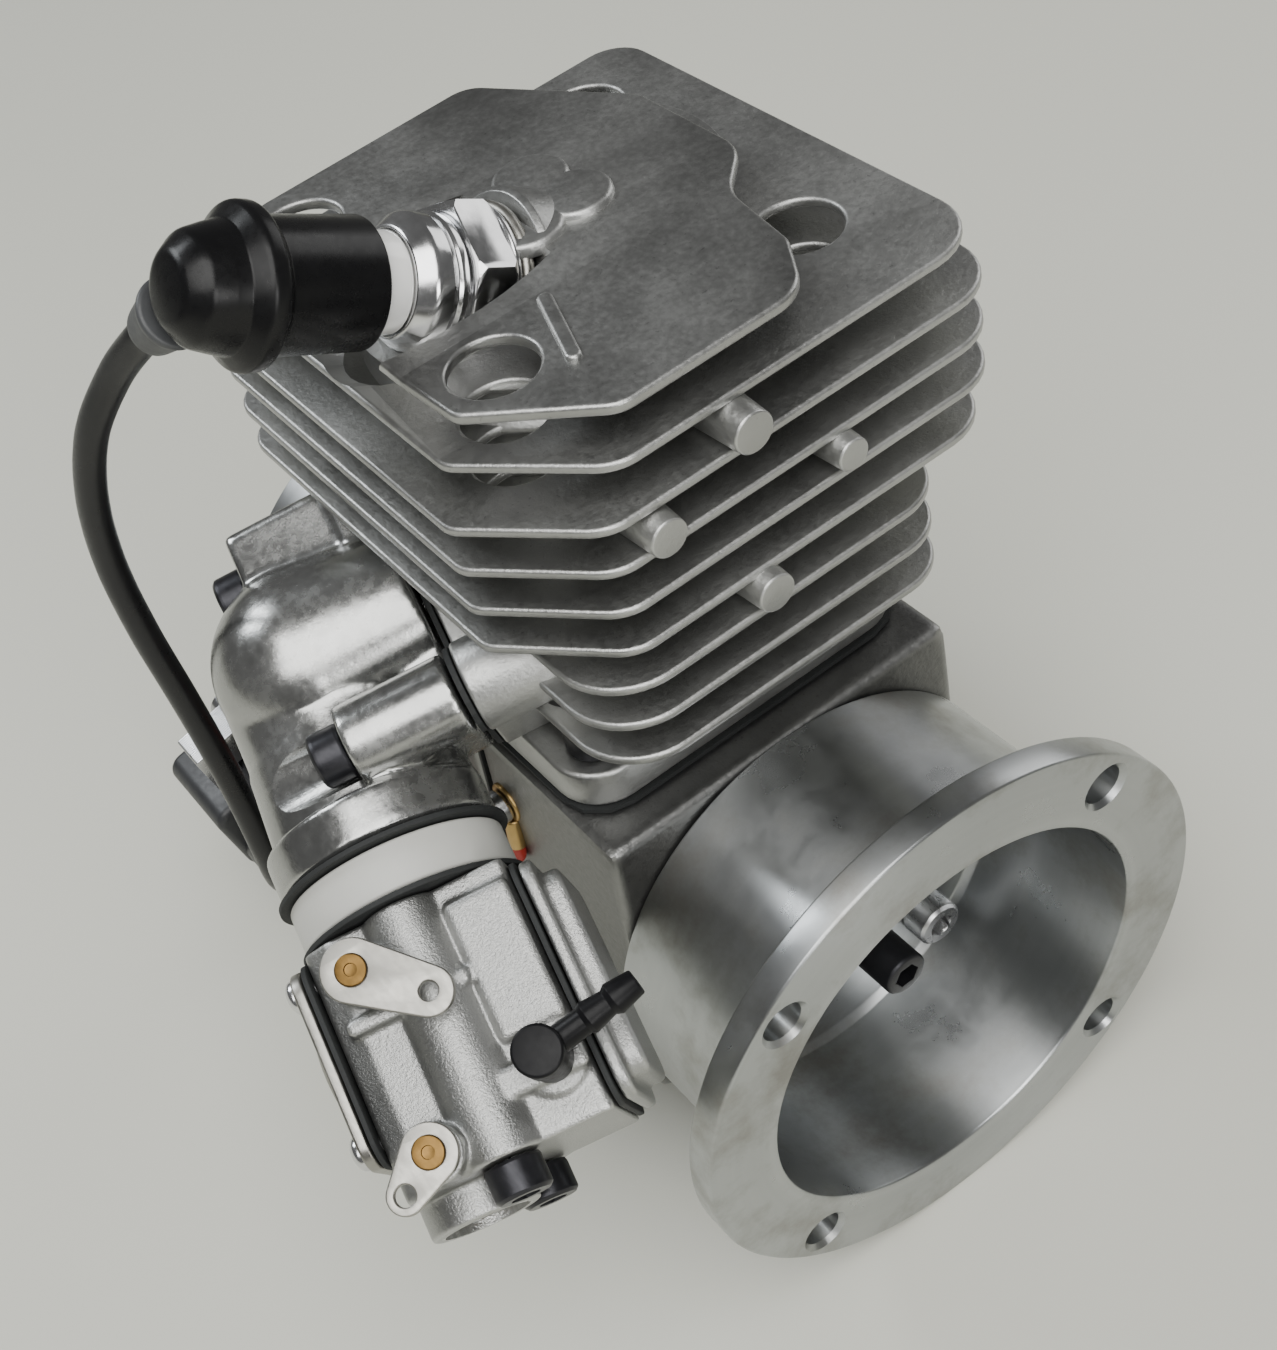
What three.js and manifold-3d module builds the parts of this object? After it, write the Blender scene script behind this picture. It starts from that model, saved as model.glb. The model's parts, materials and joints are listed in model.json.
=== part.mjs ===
// A small petrol two-stroke for a large model: finned cylinder, two-piece crankcase, flanged mount tube,
// flywheel with ignition coil, and a swept intake with insulator block and diaphragm carburettor.
// Engine axes before the final lift: crankshaft along Y, cylinder up Z, mount tube towards -Y, intake
// towards -X, exhaust towards +X. All sizes are in millimetres.
import * as THREE from "three";
import { mergeVertices } from "three/addons/utils/BufferGeometryUtils.js";
import Module from "manifold-3d";

const wasm = await Module();
wasm.setup();

// ---- driving dimensions ----
const GAP = 0.3; // clearance between touching pieces
const RUN = 0.3; // radial running clearance of shafts and piston
const BORE = 43;
const STROKE = 31;
const ROD_LENGTH = 60;
const FIN_PITCH = 7.02;
const FIN_THICKNESS = 1.5;
const FIN_COUNT = 8;
const TOP_FIN_Z = 108.1;
const CAP_PLATE_Z = 114.9; // the raised plate over the top fin
const FIN_LEFT = 38.3;
const FIN_RIGHT = 40.5;
const FIN_FRONT = 45;
const FIN_BACK = 38;
const BARREL_RADIUS = 27;
const BOLT_SQUARE = 23.9; // half the spacing of the base bolts and their access holes
const ACCESS_RADIUS = 6;
const DECK_Z = 37; // top face of the crankcase
const BASE_HALF = 31;
const BASE_THICKNESS = 7;
const GASKET = 0.8;
const CASE_RADIUS = 34;
const CASE_HALF = 37.3; // half the crankcase length along the crankshaft
const CAVITY_RADIUS = 28;
const BIG_END_RADIUS = 10.4;
const ROD_ROOM = { radius: 31.4, half: 6.8 }; // groove that the rod's big end swings through
const WEB_RADIUS = 26;
const WEB_THICKNESS = 9;
const WEB_SPACE = 14; // between the crank webs
const JOURNAL_RADIUS = 7.4;
const BEARING_RADIUS = 17.5;
const BEARING_WIDTH = 11;
const SEAL_RADIUS = 13;
const SEAL_WIDTH = 5;
const FLANGE_RADIUS = 48;
const FLANGE_THICKNESS = 5;
const FLANGE_FACE = 72.4; // crank centre to mounting face
const FLANGE_CIRCLE = 85; // pitch circle of the four mounting holes
const FLANGE_HOLE = 3.4;
const TUBE_RADIUS = 38;
const TUBE_BORE = 35.2;
const TUBE_FLOOR = 4;
const FLOOR_BOLT_CIRCLE = 54;
const FLYWHEEL_RADIUS = 43;
const FLYWHEEL_WIDTH = 24;
const FLYWHEEL_START = 54;
const M5 = { shank: 2.5, hole: 2.8, head: 4.3, height: 5, socket: 2.2 };
const PORT_RADIUS = 8;
const THROAT_RADIUS = 6.5;

const rad = THREE.MathUtils.degToRad;
const TAU = Math.PI * 2;
const EXTRA = 1; // how far a cutting tool runs past the face it opens

// ---- solids ----
// A closed geometry as a manifold solid, with its repeated vertices merged and empty triangles dropped.
function solid(geometry) {
  const bare = geometry.clone();
  bare.deleteAttribute("normal");
  bare.deleteAttribute("uv");
  const merged = mergeVertices(bare, 1e-4);
  const index = [];
  for (let i = 0; i < merged.index.count; i += 3) {
    const corners = [0, 1, 2].map((k) => merged.index.getX(i + k));
    if (new Set(corners).size === 3) index.push(...corners);
  }
  const mesh = new wasm.Mesh({
    numProp: 3,
    vertProperties: new Float32Array(merged.attributes.position.array),
    triVerts: new Uint32Array(index),
  });
  return new wasm.Manifold(mesh);
}

const join = (...pieces) => pieces.reduce((whole, piece) => whole.add(piece));
const cut = (body, ...tools) => tools.reduce((whole, tool) => whole.subtract(tool), body);

// Turns a geometry built along +Z so that it starts at one point and runs towards another.
function aimed(geometry, from, to) {
  const start = new THREE.Vector3(...from);
  const way = new THREE.Vector3(...to).sub(start).normalize();
  const turn = new THREE.Quaternion().setFromUnitVectors(new THREE.Vector3(0, 0, 1), way);
  return geometry.applyQuaternion(turn).translate(...from);
}

function cone(radiusFrom, radiusTo, from, to, sides = 20) {
  const length = new THREE.Vector3(...from).distanceTo(new THREE.Vector3(...to));
  const shape = new THREE.CylinderGeometry(radiusTo, radiusFrom, length, sides);
  shape.rotateX(Math.PI / 2).translate(0, 0, length / 2);
  return solid(aimed(shape, from, to));
}

const cylinder = (radius, from, to, sides = 20) => cone(radius, radius, from, to, sides);
const hexagon = (acrossFlats, from, to) => cylinder(acrossFlats / Math.sqrt(3), from, to, 6);

// A ring whose hole runs right through.
function tube(outer, inner, from, to, sides = 24) {
  const start = new THREE.Vector3(...from);
  const step = new THREE.Vector3(...to).sub(start).normalize().multiplyScalar(EXTRA);
  const before = start.clone().sub(step).toArray();
  const after = new THREE.Vector3(...to).add(step).toArray();
  return cut(cylinder(outer, from, to, sides), cylinder(inner, before, after, sides));
}

function block(low, high) {
  const size = low.map((value, i) => high[i] - value);
  const middle = low.map((value, i) => (high[i] + value) / 2);
  return solid(new THREE.BoxGeometry(...size).translate(...middle));
}

// A profile of [radius, distance] pairs turned about a line.
function turned(profile, from, to, sides = 24) {
  const points = profile.map(([radius, along]) => new THREE.Vector2(radius, along));
  const shape = new THREE.LatheGeometry(points, sides);
  const body = solid(aimed(shape.rotateX(Math.PI / 2), from, to));
  return body.volume() < 0 ? solid(aimed(flipped(shape), from, to)) : body;
}

function flipped(geometry) {
  const order = geometry.index.array;
  for (let i = 0; i < order.length; i += 3) [order[i], order[i + 1]] = [order[i + 1], order[i]];
  return geometry;
}

// A polygon whose corners are rounded: each corner is [x, y, radius].
function rounded(corners, steps = 3) {
  const points = [];
  corners.forEach(([x, y, radius = 0], i) => {
    const here = new THREE.Vector2(x, y);
    if (!radius) return points.push(here);
    const before = new THREE.Vector2(...corners.at(i - 1)).sub(here).normalize();
    const after = new THREE.Vector2(...corners[(i + 1) % corners.length]).sub(here).normalize();
    const half = Math.acos(before.dot(after)) / 2;
    const reach = radius / Math.tan(half);
    const start = here.clone().addScaledVector(before, reach);
    const end = here.clone().addScaledVector(after, reach);
    const centre = here.clone().add(before.clone().add(after).setLength(radius / Math.sin(half)));
    const from = start.clone().sub(centre);
    const angle = from.angleTo(end.clone().sub(centre));
    const side = Math.sign(from.cross(end.clone().sub(centre)));
    for (let k = 0; k <= steps; k++) {
      points.push(from.clone().rotateAround(new THREE.Vector2(), (side * angle * k) / steps).add(centre));
    }
  });
  return points;
}

const oval = (halfWidth, halfHeight, centre = [0, 0], sides = 40) =>
  Array.from({ length: sides }, (_, k) => [
    centre[0] + halfWidth * Math.cos((TAU * k) / sides),
    centre[1] + halfHeight * Math.sin((TAU * k) / sides),
  ]).map(([x, y]) => new THREE.Vector2(x, y));

// An outline in XY pushed from one height to another.
function pushed(points, low, high) {
  const shape = new THREE.Shape(points);
  const body = new THREE.ExtrudeGeometry(shape, { depth: high - low, bevelEnabled: false });
  return solid(body.translate(0, 0, low));
}

// An outline in XZ pushed along Y, and one in YZ pushed along X.
const pushedY = (points, low, high) => pushed(points, -high, -low).rotate([90, 0, 0]);
const pushedX = (points, low, high) => pushed(points, low, high).rotate([90, 0, 90]);

const fourCorners = (half, radius) => [
  [half, half, radius],
  [-half, half, radius],
  [-half, -half, radius],
  [half, -half, radius],
];

const paint = (color, roughness, metalness) =>
  new THREE.MeshStandardMaterial({ color, roughness, metalness });

const finish = {
  castAlloy: () => paint(0x8f8f8c, 0.45, 0.9),
  polishedAlloy: () => paint(0xb4b5b4, 0.22, 1.0),
  machinedAlloy: () => paint(0xb9bbbd, 0.28, 1.0),
  caseAlloy: () => paint(0x77777a, 0.5, 0.9),
  carbAlloy: () => paint(0xa8a8a6, 0.4, 0.9),
  steel: () => paint(0x9a9a9c, 0.3, 1.0),
  chrome: () => paint(0xcfcfd2, 0.12, 1.0),
  blackSteel: () => paint(0x1c1c1e, 0.4, 0.8),
  brass: () => paint(0x9a7436, 0.4, 1.0),
  rubber: () => paint(0x0e0e0f, 0.45, 0.0),
  gasketPaper: () => paint(0x1a1b1b, 0.8, 0.0),
  ceramic: () => paint(0xf2f1ee, 0.15, 0.0),
  insulator: () => paint(0xd9d9d4, 0.45, 0.0),
  blackPlastic: () => paint(0x0c0c0d, 0.35, 0.0),
  epoxy: () => paint(0x2a2b2d, 0.5, 0.0),
};

function named(group, name, body, material) {
  const { vertProperties, triVerts } = body.getMesh();
  const geometry = new THREE.BufferGeometry();
  geometry.setAttribute("position", new THREE.BufferAttribute(vertProperties, 3));
  geometry.setIndex(new THREE.BufferAttribute(triVerts, 1));
  geometry.computeVertexNormals();
  const mesh = new THREE.Mesh(geometry, material);
  mesh.name = name;
  group.add(mesh);
  return mesh;
}

// A socket-head cap screw: its head stands on the seat point, and its shank runs away from the head.
function socketScrew(seat, away, shankLength, size = M5) {
  const at = new THREE.Vector3(...seat);
  const way = new THREE.Vector3(...away).normalize();
  const along = (distance) => at.clone().addScaledVector(way, distance).toArray();
  const head = cylinder(size.head, along(-size.height), along(0), 16);
  const shank = cylinder(size.shank, along(-EXTRA), along(shankLength), 10);
  const socket = hexagon(size.socket * 2, along(-size.height - EXTRA), along(-size.height / 2));
  return cut(join(head, shank), socket);
}

// ---- engine and its turned sub-groups ----
const engine = new THREE.Group();

// The intake hangs on a slanted face: its X points out of the port, its Y towards the carburettor inlet.
const PORT = [-31.2, 4.5, 60.3];
const intake = new THREE.Group();
intake.position.set(...PORT);
intake.rotation.set(rad(-25), rad(10), Math.PI - rad(14), "ZXY");
engine.add(intake);
intake.updateMatrix();

// The spark plug's group: Z runs out of the head along the plug.
const PLUG_SEAT = [-9, 0, 109];
const PLUG_RISE = 29;
const plug = new THREE.Group();
plug.position.set(...PLUG_SEAT);
plug.rotation.set(0, rad(PLUG_RISE - 90), 0);
engine.add(plug);
plug.updateMatrix();

const inEngine = (group, body) => body.transform(group.matrix.elements);

// ---- cylinder ----
const barrelBase = DECK_Z + GASKET + 2 * GAP;
const finHeights = Array.from({ length: FIN_COUNT }, (_, k) => TOP_FIN_Z - k * FIN_PITCH);
const gudgeonTop = STROKE / 2 + ROD_LENGTH; // height of the gudgeon pin with the piston at the top
const CROWN = 17; // gudgeon pin to crown
const SKIRT = 14; // gudgeon pin to skirt
const SQUISH = 1;
const chamberZ = gudgeonTop + CROWN + SQUISH;
const CHAMBER_RADIUS = 13;
const PAD_FACE = -(GASKET + 2 * GAP); // the intake face, where the elbow's own face is at 0
// Places of the two intake bolts, as Y and Z of the intake; the front one stands high beside the outlet.
const ELBOW_BOLTS = { rear: [-15.4, 0], front: [19.6, 13] };
const INTAKE_FLANGE = { half: [23, 9], corner: 5, lobe: 6.3 };
const intakeOutline = (low, high, grow = 0) => {
  const [y, z] = INTAKE_FLANGE.half.map((half) => half + grow);
  const bar = pushedX(rounded([[y, z, 5], [-y, z, 5], [-y, -z, 5], [y, -z, 5]]), low, high);
  const lobe = cylinder(INTAKE_FLANGE.lobe + grow, [low, ...ELBOW_BOLTS.front], [high, ...ELBOW_BOLTS.front], 20);
  return join(bar, lobe);
};
const elbowBoltHoles = (low, high) => Object.values(ELBOW_BOLTS).map((place) =>
  cylinder(M5.hole, [low, ...place], [high, ...place], 10));
const ELBOW_BOLT_DEPTH = 11;
const EXHAUST_FACE = 36;
const EXHAUST_Z = 60;
const EXHAUST_BOLT = 16;
const EXHAUST_HALF = [22, 10.5];

function finPlate(z, left, right, front, back, frontLeft, shaved = 0) {
  const corners = [
    [right - shaved, -front, 9],
    [right - shaved, back, 6],
    [-left, back, 6],
    [-left, -front + frontLeft, 4],
    [-left + frontLeft * 0.85, -front, 7],
  ];
  return pushed(rounded(corners), z - FIN_THICKNESS / 2, z + FIN_THICKNESS / 2);
}

function cylinderFins() {
  const [top, ...rest] = finHeights;
  const plates = [finPlate(top, FIN_LEFT - 3, FIN_RIGHT - 1.5, FIN_FRONT - 1.5, FIN_BACK - 3, 17)];
  rest.forEach((z, i) => {
    const low = i >= FIN_COUNT - 4; // the three lowest are trimmed for the intake and the exhaust
    const left = low ? 31.3 : FIN_LEFT;
    const shaved = i === FIN_COUNT - 4 ? 2 : low ? 11 : 0;
    plates.push(finPlate(z, left, FIN_RIGHT, FIN_FRONT, FIN_BACK, low ? 5 : 16, shaved));
  });
  return plates;
}

// The raised plate on top is waisted round the right-hand access holes.
function capPlate() {
  const corners = [
    [-33.2, -16.5, 3], [-32.6, -28, 3], [-18, -42.3, 5], [10, -42.3, 7], [15.5, -33, 4],
    [17.6, -19, 8], [24.9, -12, 7], [24.9, 10, 5], [11, 33.6, 5], [-26, 33.6, 5], [-33, 27, 4],
  ];
  return pushed(rounded(corners, 3), CAP_PLATE_Z - 0.9, CAP_PLATE_Z + 0.9);
}

function plugPocket() {
  const seat = cylinder(PLUG.hexFlats / 2 + 3.6, [0, 0, 0], [0, 0, 40], 20);
  const thread = cylinder(PLUG.threadRadius + GAP, [0, 0, -30], [0, 0, EXTRA], 16);
  return inEngine(plug, join(seat, thread));
}

const PLUG = { threadRadius: 6.7, hexFlats: 19, gasketTop: 2.2, gasketRadius: 10.2, reach: 12 };

function makeCylinder() {
  const topFin = TOP_FIN_Z - FIN_THICKNESS / 2;
  const barrel = cylinder(BARREL_RADIUS, [0, 0, barrelBase], [0, 0, topFin], 32);
  const crownColumn = cylinder(19, [4, 0, topFin - EXTRA], [4, 0, CAP_PLATE_Z], 24);
  const plugBoss = inEngine(plug, cylinder(12, [0, 0, -16], [0, 0, 0], 16));
  const base = pushed(rounded(fourCorners(BASE_HALF, 8)), barrelBase, barrelBase + BASE_THICKNESS);
  const pads = [[2.5, 5], [4, -3], [-4.5, -3.5]].map(([x, y]) =>
    cylinder(5.4, [x, y, CAP_PLATE_Z], [x, y, CAP_PLATE_Z + 2], 12));
  const ejector = ([x, z, radius]) => cylinder(radius, [x, -FIN_FRONT + 8, z], [x, -FIN_FRONT - 2.6, z], 10);
  const stubs = [[-3.3, 104.4, 3], [-17.8, 97.1, 2.8], [11.2, 91.2, 2.4], [-3.5, 77.1, 2.9]].map(ejector);
  const exhaustPad = block(
    [10, -EXHAUST_HALF[0], EXHAUST_Z - EXHAUST_HALF[1]],
    [EXHAUST_FACE, EXHAUST_HALF[0], EXHAUST_Z + EXHAUST_HALF[1]]);
  const clearElbow = inEngine(intake, join(
    block([PAD_FACE, -26, -17], [60, 60, 17.5]),
    cylinder(INTAKE_FLANGE.lobe + 1.4, [PAD_FACE, ...ELBOW_BOLTS.front], [60, ...ELBOW_BOLTS.front], 20)));
  const fins = cut(join(...cylinderFins(), capPlate()), clearElbow);
  const intakePad = inEngine(intake, intakeOutline(-20, PAD_FACE, 0.6));
  const whole = join(barrel, crownColumn, plugBoss, base, ...pads, fins, ...stubs, exhaustPad, intakePad);

  const bore = turned([
    [0, barrelBase - EXTRA], [BORE / 2, barrelBase - EXTRA], [BORE / 2, chamberZ],
    [CHAMBER_RADIUS, chamberZ + 0.6], [CHAMBER_RADIUS * 0.8, chamberZ + 5], [0, chamberZ + 7.5],
  ], [0, 0, 0], [0, 0, 1], 32);
  const holes = [];
  for (const x of [-BOLT_SQUARE, BOLT_SQUARE]) {
    for (const y of [-BOLT_SQUARE, BOLT_SQUARE]) {
      holes.push(cylinder(ACCESS_RADIUS, [x, y, barrelBase + BASE_THICKNESS], [x, y, 125], 12));
      holes.push(cylinder(M5.hole, [x, y, barrelBase - EXTRA], [x, y, 60], 12));
    }
  }
  const intakePort = inEngine(intake, cylinder(PORT_RADIUS, [-30, 0, 0], [EXTRA, 0, 0], 20));
  const elbowHoles = elbowBoltHoles(-ELBOW_BOLT_DEPTH - GAP - EXTRA, EXTRA).map((hole) => inEngine(intake, hole));
  const exhaustPort = block([BORE / 2 - 4, -13, EXHAUST_Z - 5.5], [EXHAUST_FACE + EXTRA, 13, EXHAUST_Z + 5.5]);
  const studHoles = [-EXHAUST_BOLT - 2, EXHAUST_BOLT + 2].map((y) =>
    cylinder(2.1, [EXHAUST_FACE - 8, y, EXHAUST_Z], [EXHAUST_FACE + EXTRA, y, EXHAUST_Z], 16));
  return cut(whole, bore, plugPocket(), ...holes, intakePort, ...elbowHoles, exhaustPort, ...studHoles);
}
named(engine, "cylinder", makeCylinder(), finish.castAlloy());

const squareHoles = (radius, low, high) => [-1, 1].flatMap((i) => [-1, 1].map((j) =>
  cylinder(radius, [i * BOLT_SQUARE, j * BOLT_SQUARE, low], [i * BOLT_SQUARE, j * BOLT_SQUARE, high], 12)));

const baseGasket = cut(
  pushed(rounded(fourCorners(BASE_HALF + 0.4, 8)), DECK_Z + GAP, DECK_Z + GAP + GASKET),
  cylinder(BORE / 2 + 1.2, [0, 0, DECK_Z - EXTRA], [0, 0, DECK_Z + 3], 32),
  ...squareHoles(M5.hole, DECK_Z - EXTRA, DECK_Z + 3));
named(engine, "base_gasket", baseGasket, finish.gasketPaper());

const BASE_BOLT_LENGTH = 20;
const BASE_BOLT_SEAT = barrelBase + BASE_THICKNESS + GAP;
[[-1, -1], [1, -1], [-1, 1], [1, 1]].forEach(([i, j], k) => {
  const seat = [i * BOLT_SQUARE, j * BOLT_SQUARE, BASE_BOLT_SEAT];
  named(engine, `base_bolt_${k + 1}`, socketScrew(seat, [0, 0, -1], BASE_BOLT_LENGTH), finish.blackSteel());
});

// ---- crankcase ----
// The section is round below and square at the deck; the cavity clears the webs, rod and piston skirt.
function caseSection() {
  const arc = Array.from({ length: 19 }, (_, k) => {
    const angle = (-Math.PI * k) / 18;
    return new THREE.Vector2(CASE_RADIUS * Math.cos(angle), CASE_RADIUS * Math.sin(angle));
  });
  return [...arc, new THREE.Vector2(-BASE_HALF - 1.5, DECK_Z), new THREE.Vector2(BASE_HALF + 1.5, DECK_Z)];
}

const webEnd = WEB_SPACE / 2 + WEB_THICKNESS;
const bearingStart = webEnd + 2;
const bearingEnd = bearingStart + BEARING_WIDTH;
const sealStart = CASE_HALF - SEAL_WIDTH - 1.3;

function caseCavity() {
  const skirtRoom = BORE / 2 + 1;
  const rodRoom = WEB_RADIUS + 1.4;
  return join(
    cylinder(CAVITY_RADIUS, [0, -webEnd - 1.3, 0], [0, webEnd + 1.3, 0], 32),
    cylinder(ROD_ROOM.radius, [0, -ROD_ROOM.half, 0], [0, ROD_ROOM.half, 0], 32),
    block([-rodRoom, -9.5, 0], [rodRoom, 9.5, DECK_Z + EXTRA]),
    cylinder(skirtRoom, [0, 0, 12], [0, 0, DECK_Z + EXTRA], 32),
    cylinder(BEARING_RADIUS + GAP, [0, -bearingEnd - GAP, 0], [0, bearingEnd + GAP, 0], 24),
    cylinder(SEAL_RADIUS + GAP, [0, -CASE_HALF - EXTRA, 0], [0, CASE_HALF + EXTRA, 0], 24));
}

const floorBolts = [45, 135, 225, 315].map((degrees) => [
  (FLOOR_BOLT_CIRCLE / 2) * Math.cos(rad(degrees)),
  (FLOOR_BOLT_CIRCLE / 2) * Math.sin(rad(degrees)),
]);
const FLOOR_BOLT_LENGTH = 13;
const floorBack = -CASE_HALF - GAP;
const floorFront = floorBack - TUBE_FLOOR;

// The coil sits beside the flywheel: "out" is its distance from the crank axis, "up" is across that.
const COIL_ANGLE = rad(192);
const COIL_BOLT = { out: 50, up: 14.5, radius: 2 };
const COIL_CORE_Y = [FLYWHEEL_START + 6, FLYWHEEL_START + 14];
const COIL_GAP = 0.8; // air gap between the flywheel rim and the core legs
const coilPoint = (out, up) => [
  out * Math.cos(COIL_ANGLE) + up * Math.sin(COIL_ANGLE),
  out * Math.sin(COIL_ANGLE) - up * Math.cos(COIL_ANGLE),
];
const coilBolts = [COIL_BOLT.up, -COIL_BOLT.up].map((up) => coilPoint(COIL_BOLT.out, up));

function makeCaseHalf(rear) {
  const low = rear ? (GASKET / 2 + GAP) : -CASE_HALF;
  const high = rear ? CASE_HALF : -(GASKET / 2 + GAP);
  let body = pushedY(caseSection(), low, high);
  const lug = (x, z) => cylinder(5.5, [x, low, z], [x, high, z], 14);
  body = join(body, ...caseScrews.map(([x, z]) => lug(x, z)));
  if (rear) {
    const postTop = COIL_CORE_Y[0] - GAP;
    const plateLow = high - 6;
    const [upper, lower] = coilBolts;
    const arm = [[-22, 24], [upper[0] + 2, upper[1] + 5], [upper[0] - 5, upper[1]],
      [lower[0] - 5, lower[1] - 1], [lower[0] + 1, lower[1] - 5], [-12, -30]];
    const posts = coilBolts.map(([x, z]) => cylinder(4.5, [x, plateLow, z], [x, postTop, z], 12));
    body = join(body, pushedY(arm.map(([x, z]) => new THREE.Vector2(x, z)), plateLow, high), ...posts);
  }
  const tools = [caseCavity(), ...squareHoles(M5.hole, BASE_BOLT_SEAT - BASE_BOLT_LENGTH - 1.5, DECK_Z + EXTRA)];
  caseScrews.forEach(([x, z]) => tools.push(cylinder(2.1, [x, low - EXTRA, z], [x, high + EXTRA, z], 10)));
  if (rear) {
    coilBolts.forEach(([x, z]) => tools.push(cylinder(1.9, [x, COIL_CORE_Y[0] - 12, z], [x, 70, z], 10)));
  } else {
    const depth = floorFront + FLOOR_BOLT_LENGTH + 1.5;
    floorBolts.forEach(([x, z]) => tools.push(cylinder(M5.hole, [x, -CASE_HALF - EXTRA, z], [x, depth, z], 12)));
  }
  return cut(body, ...tools);
}
const caseScrews = [[-30, -21], [30, -21], [0, -37.5]];
named(engine, "crankcase_front", makeCaseHalf(false), finish.caseAlloy());
named(engine, "crankcase_rear", makeCaseHalf(true), finish.caseAlloy());

const caseGasket = cut(pushedY(caseSection(), -GASKET / 2, GASKET / 2), caseCavity());
named(engine, "case_gasket", caseGasket, finish.gasketPaper());

for (const [side, name] of [[-1, "front"], [1, "rear"]]) {
  const bearing = tube(BEARING_RADIUS, JOURNAL_RADIUS + RUN, [0, side * bearingStart, 0], [0, side * bearingEnd, 0]);
  named(engine, `main_bearing_${name}`, bearing, finish.steel());
  const seal = tube(SEAL_RADIUS, JOURNAL_RADIUS + RUN, [0, side * sealStart, 0],
    [0, side * (sealStart + SEAL_WIDTH), 0]);
  named(engine, `oil_seal_${name}`, seal, finish.rubber());
}

// ---- crankshaft, rod and piston ----
const PIN_RADIUS = 6;
const NOSE_END = 45;
const TAIL_RADIUS = 6;
const TAIL_END = FLYWHEEL_START + FLYWHEEL_WIDTH + 4;
const STUD = { radius: 3.9, from: 35, to: 61 };

function crankHalf(side) {
  const face = (side * WEB_SPACE) / 2;
  const web = cylinder(WEB_RADIUS, [0, face, 0], [0, side * webEnd, 0], 36);
  const lightening = [-1, 1].map((i) =>
    cylinder(4.5, [i * 13, face - side, 13], [i * 13, side * (webEnd + EXTRA), 13], 12));
  return cut(web, ...lightening);
}

const frontWeb = crankHalf(-1);
const nose = cylinder(JOURNAL_RADIUS, [0, -webEnd + EXTRA, 0], [0, -NOSE_END, 0]);
const noseBore = cylinder(STUD.radius + GAP, [0, -STUD.from + GAP, 0], [0, -NOSE_END - EXTRA, 0], 16);
named(engine, "crankshaft_front", cut(join(frontWeb, nose), noseBore), finish.steel());

const rearWeb = crankHalf(1);
const journal = cylinder(JOURNAL_RADIUS, [0, webEnd - EXTRA, 0], [0, FLYWHEEL_START - 5, 0]);
const tail = cylinder(TAIL_RADIUS, [0, webEnd, 0], [0, TAIL_END, 0]);
named(engine, "crankshaft_rear", join(rearWeb, journal, tail), finish.steel());

const stud = cut(
  cylinder(STUD.radius, [0, -STUD.from, 0], [0, -STUD.to, 0], 16),
  hexagon(4, [0, -STUD.to + 4, 0], [0, -STUD.to - EXTRA, 0]));
named(engine, "output_stud", stud, finish.blackSteel());

const throwZ = STROKE / 2;
const pinHalf = WEB_SPACE / 2 - GAP;
const bigEndInner = PIN_RADIUS + 2.2;
named(engine, "crankpin", cylinder(PIN_RADIUS, [0, -pinHalf, throwZ], [0, pinHalf, throwZ]), finish.steel());
named(engine, "big_end_bearing",
  tube(bigEndInner, PIN_RADIUS + GAP, [0, -pinHalf, throwZ], [0, pinHalf, throwZ]), finish.brass());

const GUDGEON_RADIUS = 5;
const ROD_WIDTH = 13.2;
function makeRod() {
  const half = ROD_WIDTH / 2;
  const big = cylinder(BIG_END_RADIUS, [0, -half, throwZ], [0, half, throwZ]);
  const small = cylinder(8.5, [0, -half, gudgeonTop], [0, half, gudgeonTop]);
  const shank = pushedY([
    [-5.5, throwZ + 6], [5.5, throwZ + 6], [4, gudgeonTop - 6], [-4, gudgeonTop - 6],
  ].map(([x, z]) => new THREE.Vector2(x, z)), -2.6, 2.6);
  const bigHole = cylinder(bigEndInner + GAP, [0, -half - EXTRA, throwZ], [0, half + EXTRA, throwZ]);
  const smallHole = cylinder(GUDGEON_RADIUS + GAP, [0, -half - EXTRA, gudgeonTop], [0, half + EXTRA, gudgeonTop]);
  return cut(join(big, small, shank), bigHole, smallHole);
}
named(engine, "connecting_rod", makeRod(), finish.steel());

const pistonRadius = BORE / 2 - RUN;
const RING_HEIGHT = 1.5;
const RING_DEPTH = 1.9;
const ringLevels = [gudgeonTop + CROWN - 4, gudgeonTop + CROWN - 8];
const gudgeonHalf = pistonRadius - 2;

function makePiston() {
  const body = cylinder(pistonRadius, [0, 0, gudgeonTop - SKIRT], [0, 0, gudgeonTop + CROWN], 32);
  const hollow = cylinder(pistonRadius - 3, [0, 0, gudgeonTop - SKIRT - EXTRA], [0, 0, gudgeonTop + CROWN - 4.5], 24);
  const bosses = [-1, 1].map((side) =>
    cylinder(8.6, [0, side * (ROD_WIDTH / 2 + 1), gudgeonTop], [0, side * (pistonRadius - 2.6), gudgeonTop], 16));
  const grooves = ringLevels.map((z) => tube(
    BORE / 2 + EXTRA, pistonRadius - RING_DEPTH - GAP, [0, 0, z - RING_HEIGHT / 2 - GAP],
    [0, 0, z + RING_HEIGHT / 2 + GAP], 32));
  const pinHole = cylinder(GUDGEON_RADIUS + GAP, [0, -BORE, gudgeonTop], [0, BORE, gudgeonTop], 16);
  return cut(join(cut(body, hollow), ...bosses), ...grooves, pinHole);
}
named(engine, "piston", makePiston(), finish.polishedAlloy());
ringLevels.forEach((z, k) => {
  const ring = tube(BORE / 2 - 0.2, pistonRadius - RING_DEPTH, [0, 0, z - RING_HEIGHT / 2],
    [0, 0, z + RING_HEIGHT / 2], 32);
  named(engine, `piston_ring_${k + 1}`, ring, finish.steel());
});
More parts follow.
